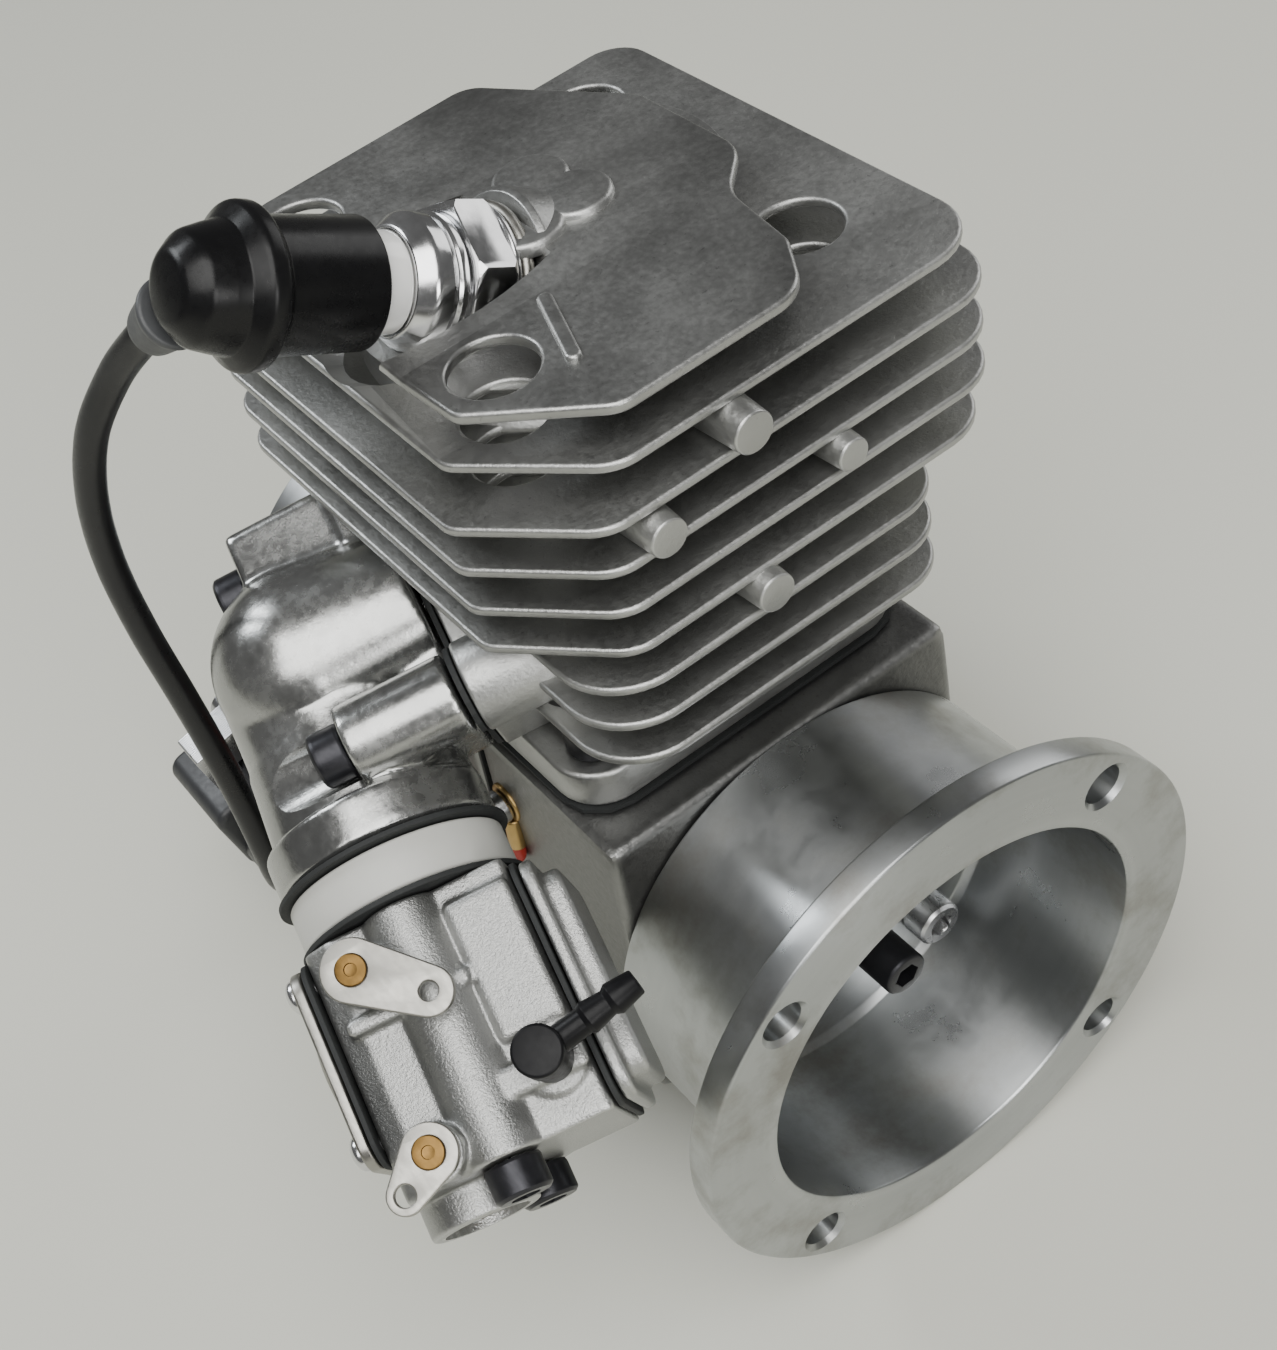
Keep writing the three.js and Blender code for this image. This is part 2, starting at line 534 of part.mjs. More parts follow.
named(engine, "gudgeon_pin",
  tube(GUDGEON_RADIUS, 2.8, [0, -gudgeonHalf, gudgeonTop], [0, gudgeonHalf, gudgeonTop], 16), finish.steel());

// ---- flywheel and coil ----
const flywheelEnd = FLYWHEEL_START + FLYWHEEL_WIDTH;
const rim = FLYWHEEL_RADIUS;
const flywheel = turned([
  [TAIL_RADIUS + GAP, FLYWHEEL_START - 3], [13, FLYWHEEL_START - 3], [13, FLYWHEEL_START + 4],
  [rim - 9, FLYWHEEL_START + 4], [rim - 7.5, FLYWHEEL_START], [rim - 3.2, FLYWHEEL_START],
  [rim - 2.6, FLYWHEEL_START + 1.4], [rim - 1, FLYWHEEL_START + 1.4], [rim, FLYWHEEL_START + 2.6],
  [rim, flywheelEnd - 1.5], [rim - 1.5, flywheelEnd], [rim - 6, flywheelEnd], [rim - 7, flywheelEnd - 14],
  [14, flywheelEnd - 14], [12.5, flywheelEnd - 4], [TAIL_RADIUS + GAP, flywheelEnd - 4],
  [TAIL_RADIUS + GAP, FLYWHEEL_START - 3],
], [0, 0, 0], [0, 1, 0], 44);
named(engine, "flywheel", flywheel, finish.machinedAlloy());

const nutStart = flywheelEnd - 4 + GAP;
const nut = cut(
  hexagon(17, [0, nutStart, 0], [0, nutStart + 6.5, 0]),
  cylinder(TAIL_RADIUS + GAP, [0, nutStart - EXTRA, 0], [0, nutStart + 8, 0], 16));
named(engine, "flywheel_nut", nut, finish.steel());

const CABLE_RADIUS = 2.5;
const TOWER = { out: 62, up: -4, radius: 4.4, length: 6 };
function makeCoil() {
  const [coreLow, coreHigh] = COIL_CORE_Y;
  const legStart = FLYWHEEL_RADIUS + COIL_GAP;
  const bar = (outs, ups, ys) => pushedY(
    [[outs[0], ups[0]], [outs[1], ups[0]], [outs[1], ups[1]], [outs[0], ups[1]]]
      .map(([out, up]) => new THREE.Vector2(...coilPoint(out, up))), ...ys);
  const legs = [[11, 18], [-18, -11]].map((ups) => bar([legStart, 62], ups, COIL_CORE_Y));
  const back = bar([56, 62], [-18, 18], COIL_CORE_Y);
  const corners = [[51, -9], [67, -9], [67, 9], [51, 9]].map(([out, up]) => [...coilPoint(out, up), 3.5]);
  const potting = pushedY(rounded(corners), coreLow - 6, coreHigh + 7);
  const [towerX, towerZ] = coilPoint(TOWER.out, TOWER.up);
  const face = coreLow - 6;
  const tower = cylinder(TOWER.radius, [towerX, face + EXTRA, towerZ], [towerX, face - TOWER.length, towerZ], 12);
  const holes = coilBolts.map(([x, z]) => cylinder(COIL_BOLT.radius + GAP, [x, coreLow - 5, z], [x, coreHigh + 9, z], 12));
  return cut(join(...legs, back, potting, tower), ...holes);
}
named(engine, "ignition_coil", makeCoil(), finish.epoxy());
const COIL_SCREW = { shank: 1.6, head: 3.4, height: 2.8, socket: 1.6 };
coilBolts.forEach(([x, z], k) => {
  const seat = [x, COIL_CORE_Y[1] + GAP, z];
  named(engine, `coil_screw_${k + 1}`, socketScrew(seat, [0, -1, 0], 16, COIL_SCREW), finish.steel());
});

// ---- mount tube ----
function makeMountTube() {
  const flangeBack = -FLANGE_FACE + FLANGE_THICKNESS;
  const flange = cylinder(FLANGE_RADIUS, [0, flangeBack, 0], [0, -FLANGE_FACE, 0], 56);
  const wall = cylinder(TUBE_RADIUS, [0, floorBack, 0], [0, flangeBack - EXTRA, 0], 56);
  const bore = cylinder(TUBE_BORE, [0, floorFront, 0], [0, -FLANGE_FACE - EXTRA, 0], 56);
  const centre = cylinder(SEAL_RADIUS - 2, [0, floorBack + EXTRA, 0], [0, floorFront - EXTRA, 0], 24);
  const holes = [45, 135, 225, 315].map((degrees) => {
    const x = (FLANGE_CIRCLE / 2) * Math.cos(rad(degrees));
    const z = (FLANGE_CIRCLE / 2) * Math.sin(rad(degrees));
    return cylinder(FLANGE_HOLE, [x, flangeBack + EXTRA, z], [x, -FLANGE_FACE - EXTRA, z], 14);
  });
  const seats = floorBolts.map(([x, z]) =>
    cylinder(M5.hole, [x, floorBack + EXTRA, z], [x, floorFront - EXTRA, z], 12));
  return cut(join(flange, wall), bore, centre, ...holes, ...seats);
}
named(engine, "mount_tube", makeMountTube(), finish.machinedAlloy());
floorBolts.forEach(([x, z], k) => {
  const seat = [x, floorFront - GAP, z];
  named(engine, `mount_screw_${k + 1}`, socketScrew(seat, [0, 1, 0], FLOOR_BOLT_LENGTH), finish.steel());
});

// ---- spark plug, cap and lead ----
const CERAMIC_RADIUS = 5.5;
const SHELL_TOP = 17.4;
const CAP_START = 21.8;
const CAP = { barrel: 8.7, bulge: 10.6, dome: 8, bulgeAt: 36.5, domeAt: 41.5, end: 49.6 };
const plugLine = [[0, 0, 0], [0, 0, 1]];

function makeShell() {
  const core = turned([
    [0, -PLUG.reach], [PLUG.threadRadius, -PLUG.reach], [PLUG.threadRadius, PLUG.gasketTop + GAP],
    [10, PLUG.gasketTop + GAP], [10, 3.6], [8.2, 4.2], [8.2, 9.6], [8.5, 10], [8.5, 12.6], [8.9, 13],
    [8.9, 15.4], [7.2, SHELL_TOP], [0, SHELL_TOP],
  ], ...plugLine);
  const hex = hexagon(PLUG.hexFlats, [0, 0, 3.4], [0, 0, 9.8]);
  const well = cylinder(CERAMIC_RADIUS + GAP, [0, 0, -PLUG.reach - EXTRA], [0, 0, SHELL_TOP + EXTRA], 16);
  return cut(join(core, hex), well);
}
named(plug, "plug_shell", makeShell(), finish.chrome());
named(plug, "plug_gasket", tube(PLUG.gasketRadius, PLUG.threadRadius + GAP, [0, 0, GAP],
  [0, 0, PLUG.gasketTop], 24), finish.steel());

const insulator = turned([
  [0, -PLUG.reach + 1], [2.6, -PLUG.reach + 1], [CERAMIC_RADIUS, -2], [CERAMIC_RADIUS, CAP_START + 1],
  [4.6, CAP_START + 2.5], [4.6, 32], [3, 33], [3, 36], [0, 36],
], ...plugLine, 16);
named(plug, "plug_insulator", insulator, finish.ceramic());

const plugCap = turned([
  [CERAMIC_RADIUS + GAP, CAP_START], [CAP.barrel, CAP_START], [CAP.barrel + 0.1, CAP.bulgeAt],
  [CAP.bulge, CAP.bulgeAt + 1.2], [CAP.bulge, CAP.domeAt - 1.4], [CAP.dome, CAP.domeAt],
  [CAP.dome * 0.94, CAP.domeAt + 3], [CAP.dome * 0.74, CAP.end - 2.4], [CAP.dome * 0.4, CAP.end - 0.5],
  [0, CAP.end], [0, 37], [CERAMIC_RADIUS + GAP, 36.5], [CERAMIC_RADIUS + GAP, CAP_START],
], ...plugLine, 24);
named(plug, "plug_cap", plugCap, finish.rubber());

// The sleeve leaves the dome's side; the lead runs from it, down past the elbow, to the coil's tower.
const capPoint = (along) => new THREE.Vector3(0, 0, along).applyMatrix4(plug.matrix);
const sleeveWay = new THREE.Vector3(-0.34, 0.73, -0.59).normalize();
const sleeveRoot = capPoint(CAP.domeAt + 3);
const sleeveAt = (distance) => sleeveRoot.clone().addScaledVector(sleeveWay, distance).toArray();
const SLEEVE = { from: CAP.dome + 2.2, to: 14.2 };
named(engine, "lead_sleeve", cone(4.3, 3.6, sleeveAt(SLEEVE.from), sleeveAt(SLEEVE.to), 16), finish.rubber());

const leadStart = sleeveAt(SLEEVE.to + GAP);
const [towerX, towerZ] = coilPoint(TOWER.out, TOWER.up);
const leadEnd = [towerX, COIL_CORE_Y[0] - 6 - TOWER.length - GAP, towerZ];
const leadRoute = [
  leadStart, sleeveAt(SLEEVE.to + 4), [-57.6, 19.6, 113], [-62.4, 26, 102.5], [-65.4, 31, 89.5],
  [-66.6, 34.4, 75], [-66.4, 35.6, 59.5], [-65.4, 35.8, 44], [-64.6, 35.8, 29], [-64.2, 35.6, 14],
  [-64.2, 36, 0], [-63.8, 37.4, -8.5], [-62, 40.4, -14.6], [leadEnd[0], leadEnd[1] - 3, leadEnd[2]], leadEnd,
].map((point) => new THREE.Vector3(...point));

function makeLead() {
  const sides = 8;
  const section = oval(CABLE_RADIUS, CABLE_RADIUS, [0, 0], sides);
  const extrudePath = new THREE.CatmullRomCurve3(leadRoute, false, "centripetal");
  return solid(new THREE.ExtrudeGeometry(new THREE.Shape(section), { steps: 40, extrudePath, bevelEnabled: false }));
}
named(engine, "ht_lead", makeLead(), finish.rubber());

// ---- intake elbow ----
// From here on, X is out of the port, Y towards the carburettor's inlet and Z up its lever side.
const ELBOW = { centre: 20, radius: 15.4, flange: [26.5, 34], seat: { front: 17.8, rear: 23.6 }, flatness: 0.74 };
const OUTLET = { centre: 21, half: [17.3, 16.6], bore: 7 };
const CARB_BOLT = { x: 21, z: 10.2 };
const PASSAGE_X = 26.5;
const outletOutline = (grow = 0) => oval(OUTLET.half[0] + grow, OUTLET.half[1] + grow, [OUTLET.centre, 0], 32);
// An outline in XZ of the intake group pushed along its Y.
const slab = (points, low, high) => pushedY(points, low, high);
const carbBoltHoles = (low, high) => [-1, 1].map((side) =>
  cylinder(M5.hole, [CARB_BOLT.x, low, side * CARB_BOLT.z], [CARB_BOLT.x, high, side * CARB_BOLT.z], 10));

function makeElbow() {
  const [flangeLow, flangeHigh] = ELBOW.flange;
  const plate = intakeOutline(0, 7);
  const rearLug = block([0, -22.5, -8.5], [ELBOW.seat.rear, -9.5, 8]);
  const frontBoss = cylinder(INTAKE_FLANGE.lobe, [0, ...ELBOW_BOLTS.front], [ELBOW.seat.front, ...ELBOW_BOLTS.front], 20);
  const dome = solid(new THREE.SphereGeometry(ELBOW.radius, 24, 14).translate(ELBOW.centre, 0, 0));
  const inlet = cone(13.5, ELBOW.radius, [0, 0, 0], [ELBOW.centre, 0, 0], 24);
  // Past the dome the bend is lower than it is wide, which leaves the front bolt's head in the open.
  const bend = join(
    cylinder(ELBOW.radius, [ELBOW.centre, 0, 0], [ELBOW.centre, flangeHigh - EXTRA, 0], 24),
    cone(ELBOW.radius, 16.4, [ELBOW.centre, 14, 0], [OUTLET.centre, flangeLow + EXTRA, 0], 24),
  ).scale([1, 1, ELBOW.flatness]);
  const flange = slab(outletOutline(), flangeLow, flangeHigh);
  const whole = join(plate, rearLug, frontBoss, dome, inlet, bend, flange);
  const inPassage = cylinder(PORT_RADIUS, [-EXTRA, 0, 0], [PASSAGE_X, 0, 0], 16);
  const corner = solid(new THREE.SphereGeometry(PORT_RADIUS, 16, 10).translate(PASSAGE_X, 0, 0));
  const outPassage = cylinder(OUTLET.bore, [PASSAGE_X, 0, 0], [PASSAGE_X, flangeHigh + EXTRA, 0], 16);
  const bossHead = M5.head + 0.5;
  const headRooms = Object.entries(ELBOW_BOLTS).map(([side, place]) =>
    cylinder(bossHead, [ELBOW.seat[side], ...place], [ELBOW.seat[side] + 20, ...place], 16));
  return cut(whole, inPassage, corner, outPassage, ...elbowBoltHoles(-EXTRA, 26), ...headRooms,
    ...carbBoltHoles(flangeLow + 1, flangeHigh + EXTRA));
}
named(intake, "intake_elbow", makeElbow(), finish.polishedAlloy());

const elbowGasket = cut(
  intakeOutline(-GAP - GASKET, -GAP, 0.3),
  cylinder(PORT_RADIUS, [-3, 0, 0], [EXTRA, 0, 0], 20),
  ...elbowBoltHoles(-3, EXTRA));
named(intake, "elbow_gasket", elbowGasket, finish.gasketPaper());

for (const [side, place] of Object.entries(ELBOW_BOLTS)) {
  const seat = ELBOW.seat[side] + GAP;
  const screw = socketScrew([seat, ...place], [-1, 0, 0], seat + ELBOW_BOLT_DEPTH);
  named(intake, `elbow_bolt_${side}`, screw, finish.blackSteel());
}

// ---- insulator block and its gaskets ----
const INSULATOR_LENGTH = 7;
const gasketOneLow = ELBOW.flange[1] + GAP;
const insulatorLow = gasketOneLow + GASKET + GAP;
const gasketTwoLow = insulatorLow + INSULATOR_LENGTH + GAP;
const carbLow = gasketTwoLow + GASKET + GAP;
const THROAT_X = 29;

function ported(points, low, high, holeX, holeRadius) {
  const port = cylinder(holeRadius, [holeX, low - EXTRA, 0], [holeX, high + EXTRA, 0], 20);
  return cut(slab(points, low, high), port, ...carbBoltHoles(low - EXTRA, high + EXTRA));
}
const passageMiddle = (PASSAGE_X + THROAT_X) / 2;
named(intake, "insulator_gasket_1",
  ported(outletOutline(0.9), gasketOneLow, gasketOneLow + GASKET, PASSAGE_X, PORT_RADIUS), finish.gasketPaper());
named(intake, "insulator_block",
  ported(outletOutline(-0.4), insulatorLow, insulatorLow + INSULATOR_LENGTH, passageMiddle, 7.2), finish.insulator());
named(intake, "insulator_gasket_2",
  ported(outletOutline(0.4), gasketTwoLow, gasketTwoLow + GASKET, THROAT_X, THROAT_RADIUS + 0.4), finish.gasketPaper());

// ---- carburettor ----
const CARB = { low: 4.8, high: 36.4, half: 13.2, length: 38, ridge: 6.2 };
const carbHigh = carbLow + CARB.length;
const METER = { from: carbLow + 1.2, to: carbLow + 31.5 };
const PUMP = { from: carbLow + 1.2, to: carbHigh - 0.6 };
const SHAFT_RADIUS = 2.4;
const throttleY = carbLow + 7;
const chokeY = carbLow + 33.8;
const LIP = 5; // the inlet collar stands this far out of the body
const LEVER_Z = 18.6;
const LEVER_THICKNESS = 1.2;
const FUEL = { x: 9.8, y: carbLow + 28.6, radius: 3.3, top: 24.4, barbZ: 21.4 };
const PLATE_RADIUS = THROAT_RADIUS - RUN;

function makeCarbBody() {
  const block1 = slab(rounded([
    [CARB.high, CARB.half - 2, 1.5], [CARB.high - 4, CARB.half, 1.5], [CARB.low, CARB.half, 1],
    [CARB.low, -CARB.half, 1], [CARB.high, -CARB.half, 2],
  ]), carbLow, carbHigh);
  const ridges = [1, -1].map((side) => cylinder(CARB.ridge, [CARB_BOLT.x, carbLow, side * CARB_BOLT.z],
    [CARB_BOLT.x, carbHigh, side * CARB_BOLT.z], 16));
  const lip = cylinder(THROAT_RADIUS + 1.8, [THROAT_X, carbHigh - EXTRA, 0], [THROAT_X, carbHigh + LIP, 0], 24);
  const shaftBosses = [throttleY, chokeY].map((y) =>
    cylinder(4.2, [THROAT_X, y, 0], [THROAT_X, y, LEVER_Z - 1.6], 12));
  const fuelBoss = cylinder(5, [FUEL.x, FUEL.y, 0], [FUEL.x, FUEL.y, CARB.half + 0.8], 14);
  const body = join(block1, ...ridges, lip, ...shaftBosses, fuelBoss);
  const end = carbHigh + LIP + EXTRA;
  const waist = carbLow + 20;
  const throat = turned([
    [0, carbLow - EXTRA], [THROAT_RADIUS, carbLow - EXTRA], [THROAT_RADIUS, waist - 5],
    [THROAT_RADIUS - 1.1, waist], [THROAT_RADIUS, waist + 5], [THROAT_RADIUS, end], [0, end],
  ], [THROAT_X, 0, 0], [THROAT_X, 1, 0], 20);
  const shafts = [throttleY, chokeY].map((y) =>
    cylinder(SHAFT_RADIUS + RUN, [THROAT_X, y, -CARB.half + 2], [THROAT_X, y, LEVER_Z], 14));
  const fuelWell = cylinder(FUEL.radius - 1 + GAP, [FUEL.x, FUEL.y, 5], [FUEL.x, FUEL.y, CARB.half + 3], 12);
  return cut(body, throat, ...shafts, fuelWell, ...carbBoltHoles(carbLow - EXTRA, carbHigh + EXTRA));
}
named(intake, "carburettor_body", makeCarbBody(), finish.carbAlloy());

// Side covers: a flat outline in YZ with rounded corners, pushed along X.
function sideOutline(span, half, grow = 0) {
  const low = span.from - grow;
  const high = span.to + grow;
  const edge = half + grow;
  return rounded([[high, edge, 4], [low, edge, 4], [low, -edge, 4], [high, -edge, 4]]);
}
const meterFace = CARB.high + GAP;
named(intake, "metering_gasket", pushedX(sideOutline(METER, 12.4, 0.4), meterFace, meterFace + GASKET),
  finish.gasketPaper());
const meterPlate = meterFace + GASKET + GAP;
const dish = cone(10, 7, [meterPlate + 1.5, (METER.from + METER.to) / 2, 0],
  [meterPlate + 3.4, (METER.from + METER.to) / 2, 0], 20);
named(intake, "metering_cover", join(pushedX(sideOutline(METER, 12.4), meterPlate, meterPlate + 1.8), dish),
  finish.chrome());

const pumpFace = CARB.low - GAP;
named(intake, "pump_gasket", pushedX(sideOutline(PUMP, 12.8, 0.4), pumpFace - GASKET, pumpFace), finish.gasketPaper());
const pumpPlate = pumpFace - GASKET - GAP;
const pumpStep = pushedX(sideOutline(PUMP, 12.8, -3), pumpPlate - 5.2, pumpPlate - EXTRA);
named(intake, "pump_cover", join(pushedX(sideOutline(PUMP, 12.8), pumpPlate - 2, pumpPlate), pumpStep), finish.carbAlloy());

// A shaft through the throat with a slot for its plate; the lever is riveted over its top. The plate
// closes the throat at a turn of zero.
const CHOKE_OPEN = 75; // degrees from closed, where the choke rests
const inThroat = (body, y, turn) => body.rotate([0, 0, turn]).translate([THROAT_X, y, 0]);

function makeShaft(y, turn) {
  const top = LEVER_Z + LEVER_THICKNESS;
  const shaft = cylinder(SHAFT_RADIUS, [0, 0, -CARB.half + 2.4], [0, 0, top + 0.5], 14);
  const shoulder = SHAFT_RADIUS - 0.6;
  const neck = tube(SHAFT_RADIUS + EXTRA, shoulder, [0, 0, LEVER_Z - GAP], [0, 0, top + GAP], 14);
  const slot = block(
    [-SHAFT_RADIUS - EXTRA, -0.8, -PLATE_RADIUS - GAP], [SHAFT_RADIUS + EXTRA, 0.8, PLATE_RADIUS + GAP]);
  return inThroat(cut(shaft, neck, slot), y, turn);
}
const makePlate = (y, turn) => inThroat(cylinder(PLATE_RADIUS, [0, -0.5, 0], [0, 0.5, 0], 20), y, turn);

// A flat lever: two round ends with straight flanks between them.
function leverOutline(from, fromRadius, to, toRadius) {
  const start = new THREE.Vector2(...from);
  const end = new THREE.Vector2(...to);
  const way = Math.atan2(end.y - start.y, end.x - start.x);
  const spread = Math.acos((fromRadius - toRadius) / start.distanceTo(end));
  const arc = (centre, radius, low, high, steps) => Array.from({ length: steps + 1 }, (_, k) => {
    const angle = low + ((high - low) * k) / steps;
    return new THREE.Vector2(centre.x + radius * Math.cos(angle), centre.y + radius * Math.sin(angle));
  });
  return [
    ...arc(start, fromRadius, way + spread, way + TAU - spread, 10),
    ...arc(end, toRadius, way - spread, way + spread, 6),
  ];
}

function makeLever(y, pivotRadius, tip, tipRadius, holeRadius) {
  const outline = leverOutline([THROAT_X, y], pivotRadius, tip, tipRadius);
  const high = LEVER_Z + LEVER_THICKNESS;
  const plate = pushed(outline, LEVER_Z, high);
  const eye = cylinder(SHAFT_RADIUS - 0.6 + GAP, [THROAT_X, y, LEVER_Z - EXTRA], [THROAT_X, y, high + EXTRA], 12);
  const hole = cylinder(holeRadius, [...tip, LEVER_Z - EXTRA], [...tip, high + EXTRA], 10);
  return cut(plate, eye, hole);
}

const THROTTLE_TIP = [20.4, throttleY + 7.2];
const CHOKE_TIP = [THROAT_X + 5.2, chokeY + 3.8];
named(intake, "throttle_shaft", makeShaft(throttleY, 0), finish.brass());
named(intake, "throttle_lever", makeLever(throttleY, 4.6, THROTTLE_TIP, 3.6, 1.35), finish.steel());
named(intake, "throttle_plate", makePlate(throttleY, 0), finish.brass());
named(intake, "choke_shaft", makeShaft(chokeY, CHOKE_OPEN), finish.brass());
named(intake, "choke_lever", makeLever(chokeY, 4.1, CHOKE_TIP, 2.7, 1.5), finish.steel());
named(intake, "choke_plate", makePlate(chokeY, CHOKE_OPEN), finish.brass());

// The fuel inlet: a capped stem in the body with a barbed spout over the pump cover.
function makeFuelElbow() {
  const { x, y, radius, top, barbZ } = FUEL;
  const seat = CARB.half + 0.8 + GAP;
  const stem = cylinder(radius, [x, y, seat], [x, y, top], 16);
  const spigot = cylinder(radius - 1, [x, y, 7], [x, y, seat + EXTRA], 12);
  const tip = [x - 15.4, y - 3, barbZ];
  const spout = cylinder(1.9, [x, y, barbZ], tip, 10);
  const barbAt = (share) => [x + (tip[0] - x) * share, y + (tip[1] - y) * share, barbZ];
  const barbs = [[0.5, 0.72], [0.76, 1]].map(([low, high]) => cone(2.35, 1.95, barbAt(low), barbAt(high), 10));
  return cut(join(stem, spigot, spout, ...barbs), cylinder(1.1, [x, y, barbZ], barbAt(1.1), 8),
    cylinder(1.1, [x, y, 6], [x, y, barbZ + 1], 8));
}
named(intake, "fuel_elbow", makeFuelElbow(), finish.blackPlastic());

[["upper", 1], ["lower", -1]].forEach(([name, side]) => {
  const seat = [CARB_BOLT.x, carbHigh + GAP, side * CARB_BOLT.z];
  named(intake, `carb_bolt_${name}`, socketScrew(seat, [0, -1, 0], carbHigh - ELBOW.flange[0] - 2), finish.blackSteel());
});

// ---- stand the engine on its lowest point, centred ----
const part = new THREE.Group();
part.add(engine);
part.updateMatrixWorld(true);
const bounds = new THREE.Box3();
engine.traverse((item) => item.isMesh && bounds.union(new THREE.Box3().setFromObject(item, true)));
const middle = bounds.getCenter(new THREE.Vector3());
engine.position.set(-middle.x, -middle.y, -bounds.min.z);

export default part;
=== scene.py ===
"""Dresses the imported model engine: rounded castings, turned and plated parts, screws, plug, lead and stage."""

import json
import math

import bmesh
import bpy
import numpy as np
from bpy.props import FloatProperty, FloatVectorProperty, PointerProperty
from mathutils import Matrix, Vector


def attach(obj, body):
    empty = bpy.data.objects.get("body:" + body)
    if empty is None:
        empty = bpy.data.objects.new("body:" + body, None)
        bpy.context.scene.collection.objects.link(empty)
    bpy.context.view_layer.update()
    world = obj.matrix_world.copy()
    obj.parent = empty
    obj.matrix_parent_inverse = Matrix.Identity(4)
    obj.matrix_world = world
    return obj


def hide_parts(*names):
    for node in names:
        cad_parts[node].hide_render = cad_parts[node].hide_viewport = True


bl_info = {
    "name": "Model Engine Look",
    "version": (1, 0, 0),
    "blender": (4, 5, 0),
    "location": "3D View > Sidebar > Engine",
    "description": "Builds the visible surfaces of a small two-stroke engine round its packed frame",
    "category": "Object",
}

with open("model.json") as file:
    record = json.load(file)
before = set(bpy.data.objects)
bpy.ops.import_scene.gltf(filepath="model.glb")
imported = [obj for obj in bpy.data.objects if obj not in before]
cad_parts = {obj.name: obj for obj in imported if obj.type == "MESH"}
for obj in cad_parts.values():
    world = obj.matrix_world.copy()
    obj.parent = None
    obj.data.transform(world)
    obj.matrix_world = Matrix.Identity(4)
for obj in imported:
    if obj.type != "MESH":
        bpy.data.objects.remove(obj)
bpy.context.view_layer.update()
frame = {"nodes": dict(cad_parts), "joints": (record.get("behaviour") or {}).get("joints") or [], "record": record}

# ---- places, in millimetres from the crankshaft's centre ----
MM = 0.001
JOINTS = {joint["name"]: joint for joint in frame["joints"]}
CRANK_CENTRE = Vector(JOINTS["crank_spin"]["pos_m"]) / MM
ENGINE = Matrix.Translation(CRANK_CENTRE)


def turn(degrees, axis):
    """A turn about one axis through the origin."""
    return Matrix.Rotation(math.radians(degrees), 4, axis)


def at(x, y, z):
    """A shift along the three axes."""
    return Matrix.Translation((x, y, z))


INTAKE = ENGINE @ at(-31.2, 4.5, 60.3) @ turn(166, "Z") @ turn(-25, "X") @ turn(10, "Y")
PLUG = ENGINE @ at(-9, 0, 109) @ turn(-61, "Y")
ALONG_Y = turn(-90, "X")  # turns a shape made along +Z to run along +Y

FIN_TOP = 108.1
FIN_PITCH = 7.02
FIN_COUNT = 8
LOW_FIN = 5  # from this one down the fins are smaller
CAP_PLATE = 114.9
BASE_TOP = 45.4
BOLT_SQUARE = 23.9
BOLT_CORNERS = [(x * BOLT_SQUARE, y * BOLT_SQUARE) for x in (-1, 1) for y in (-1, 1)]
ACCESS_RADIUS = 6  # holes in the fins above the base bolts
BOLT_HOLE = 2.8
POCKET_RADIUS = 13.1  # room round the plug's seat
FLANGE_FACE = -72.4
MOUNT_CIRCLE = 42.5
SCREW_CIRCLE = 27
QUARTERS = [math.radians(45 + 90 * k) for k in range(4)]
FLYWHEEL_START = 54
FLYWHEEL_END = 78
FLYWHEEL_RIM = 43
CARB_LOW = 43.8
CARB_HIGH = 81.8
THROAT_X = 29
THROTTLE_Y = CARB_LOW + 7
CHOKE_Y = CARB_LOW + 33.8
LEVER_Z = 18.6
FUEL_INLET = (9.8, CARB_LOW + 28.6)
CARB_BOLT = (21, 10.2)
BORE_RADIUS = 21.65
ROD_ROOM = (31.4, 6.85)  # radius and half width of the groove for the rod's big end
COIL_ANGLE = math.radians(192)
COIL_START = FLYWHEEL_START + 6
COIL_TOWER = (62, -4)
ELBOW_FRONT = (18.1, 19.6, 13)  # seat of the front intake bolt's head, in the intake's frame
ELBOW_REAR = (23.9, -15.4, 0)
ELBOW_BEND = 15.4  # radius of the bend and of its dome
ELBOW_FLATNESS = 0.74
EARTH_SCREW = (-32.5, -5.8, 23.7)  # on the crankcase's left side
TAU = math.tau


# ---- outlines ----
def rounded(corners, steps=8):
    """A polygon whose corners [x, y, radius] are replaced by arcs tangent to both sides."""
    points = []
    count = len(corners)
    for i, corner in enumerate(corners):
        here = np.array(corner[:2], float)
        radius = corner[2] if len(corner) > 2 else 0
        if not radius:
            points.append(here[None])
            continue
        before = np.array(corners[i - 1][:2], float) - here
        after = np.array(corners[(i + 1) % count][:2], float) - here
        reach = 0.49 * min(np.linalg.norm(before), np.linalg.norm(after))
        before /= np.linalg.norm(before)
        after /= np.linalg.norm(after)
        half = math.acos(np.clip(before @ after, -1, 1)) / 2
        radius = min(radius, reach * math.tan(half))
        middle = (before + after) / np.linalg.norm(before + after)
        centre = here + middle * radius / math.sin(half)
        first = here + before * radius / math.tan(half) - centre
        last = here + after * radius / math.tan(half) - centre
        sweep = math.atan2(first[0] * last[1] - first[1] * last[0], first @ last)
        angles = np.linspace(0, sweep, steps + 1)
        cosines, sines = np.cos(angles), np.sin(angles)
        arc = np.c_[first[0] * cosines - first[1] * sines, first[0] * sines + first[1] * cosines]
        points.append(centre + arc)
    return np.concatenate(points)


def circle(x, y, radius, count=48):
    """Points at equal angles about a centre."""
    angles = np.linspace(0, TAU, count, endpoint=False)
    return np.c_[x + radius * np.cos(angles), y + radius * np.sin(angles)]


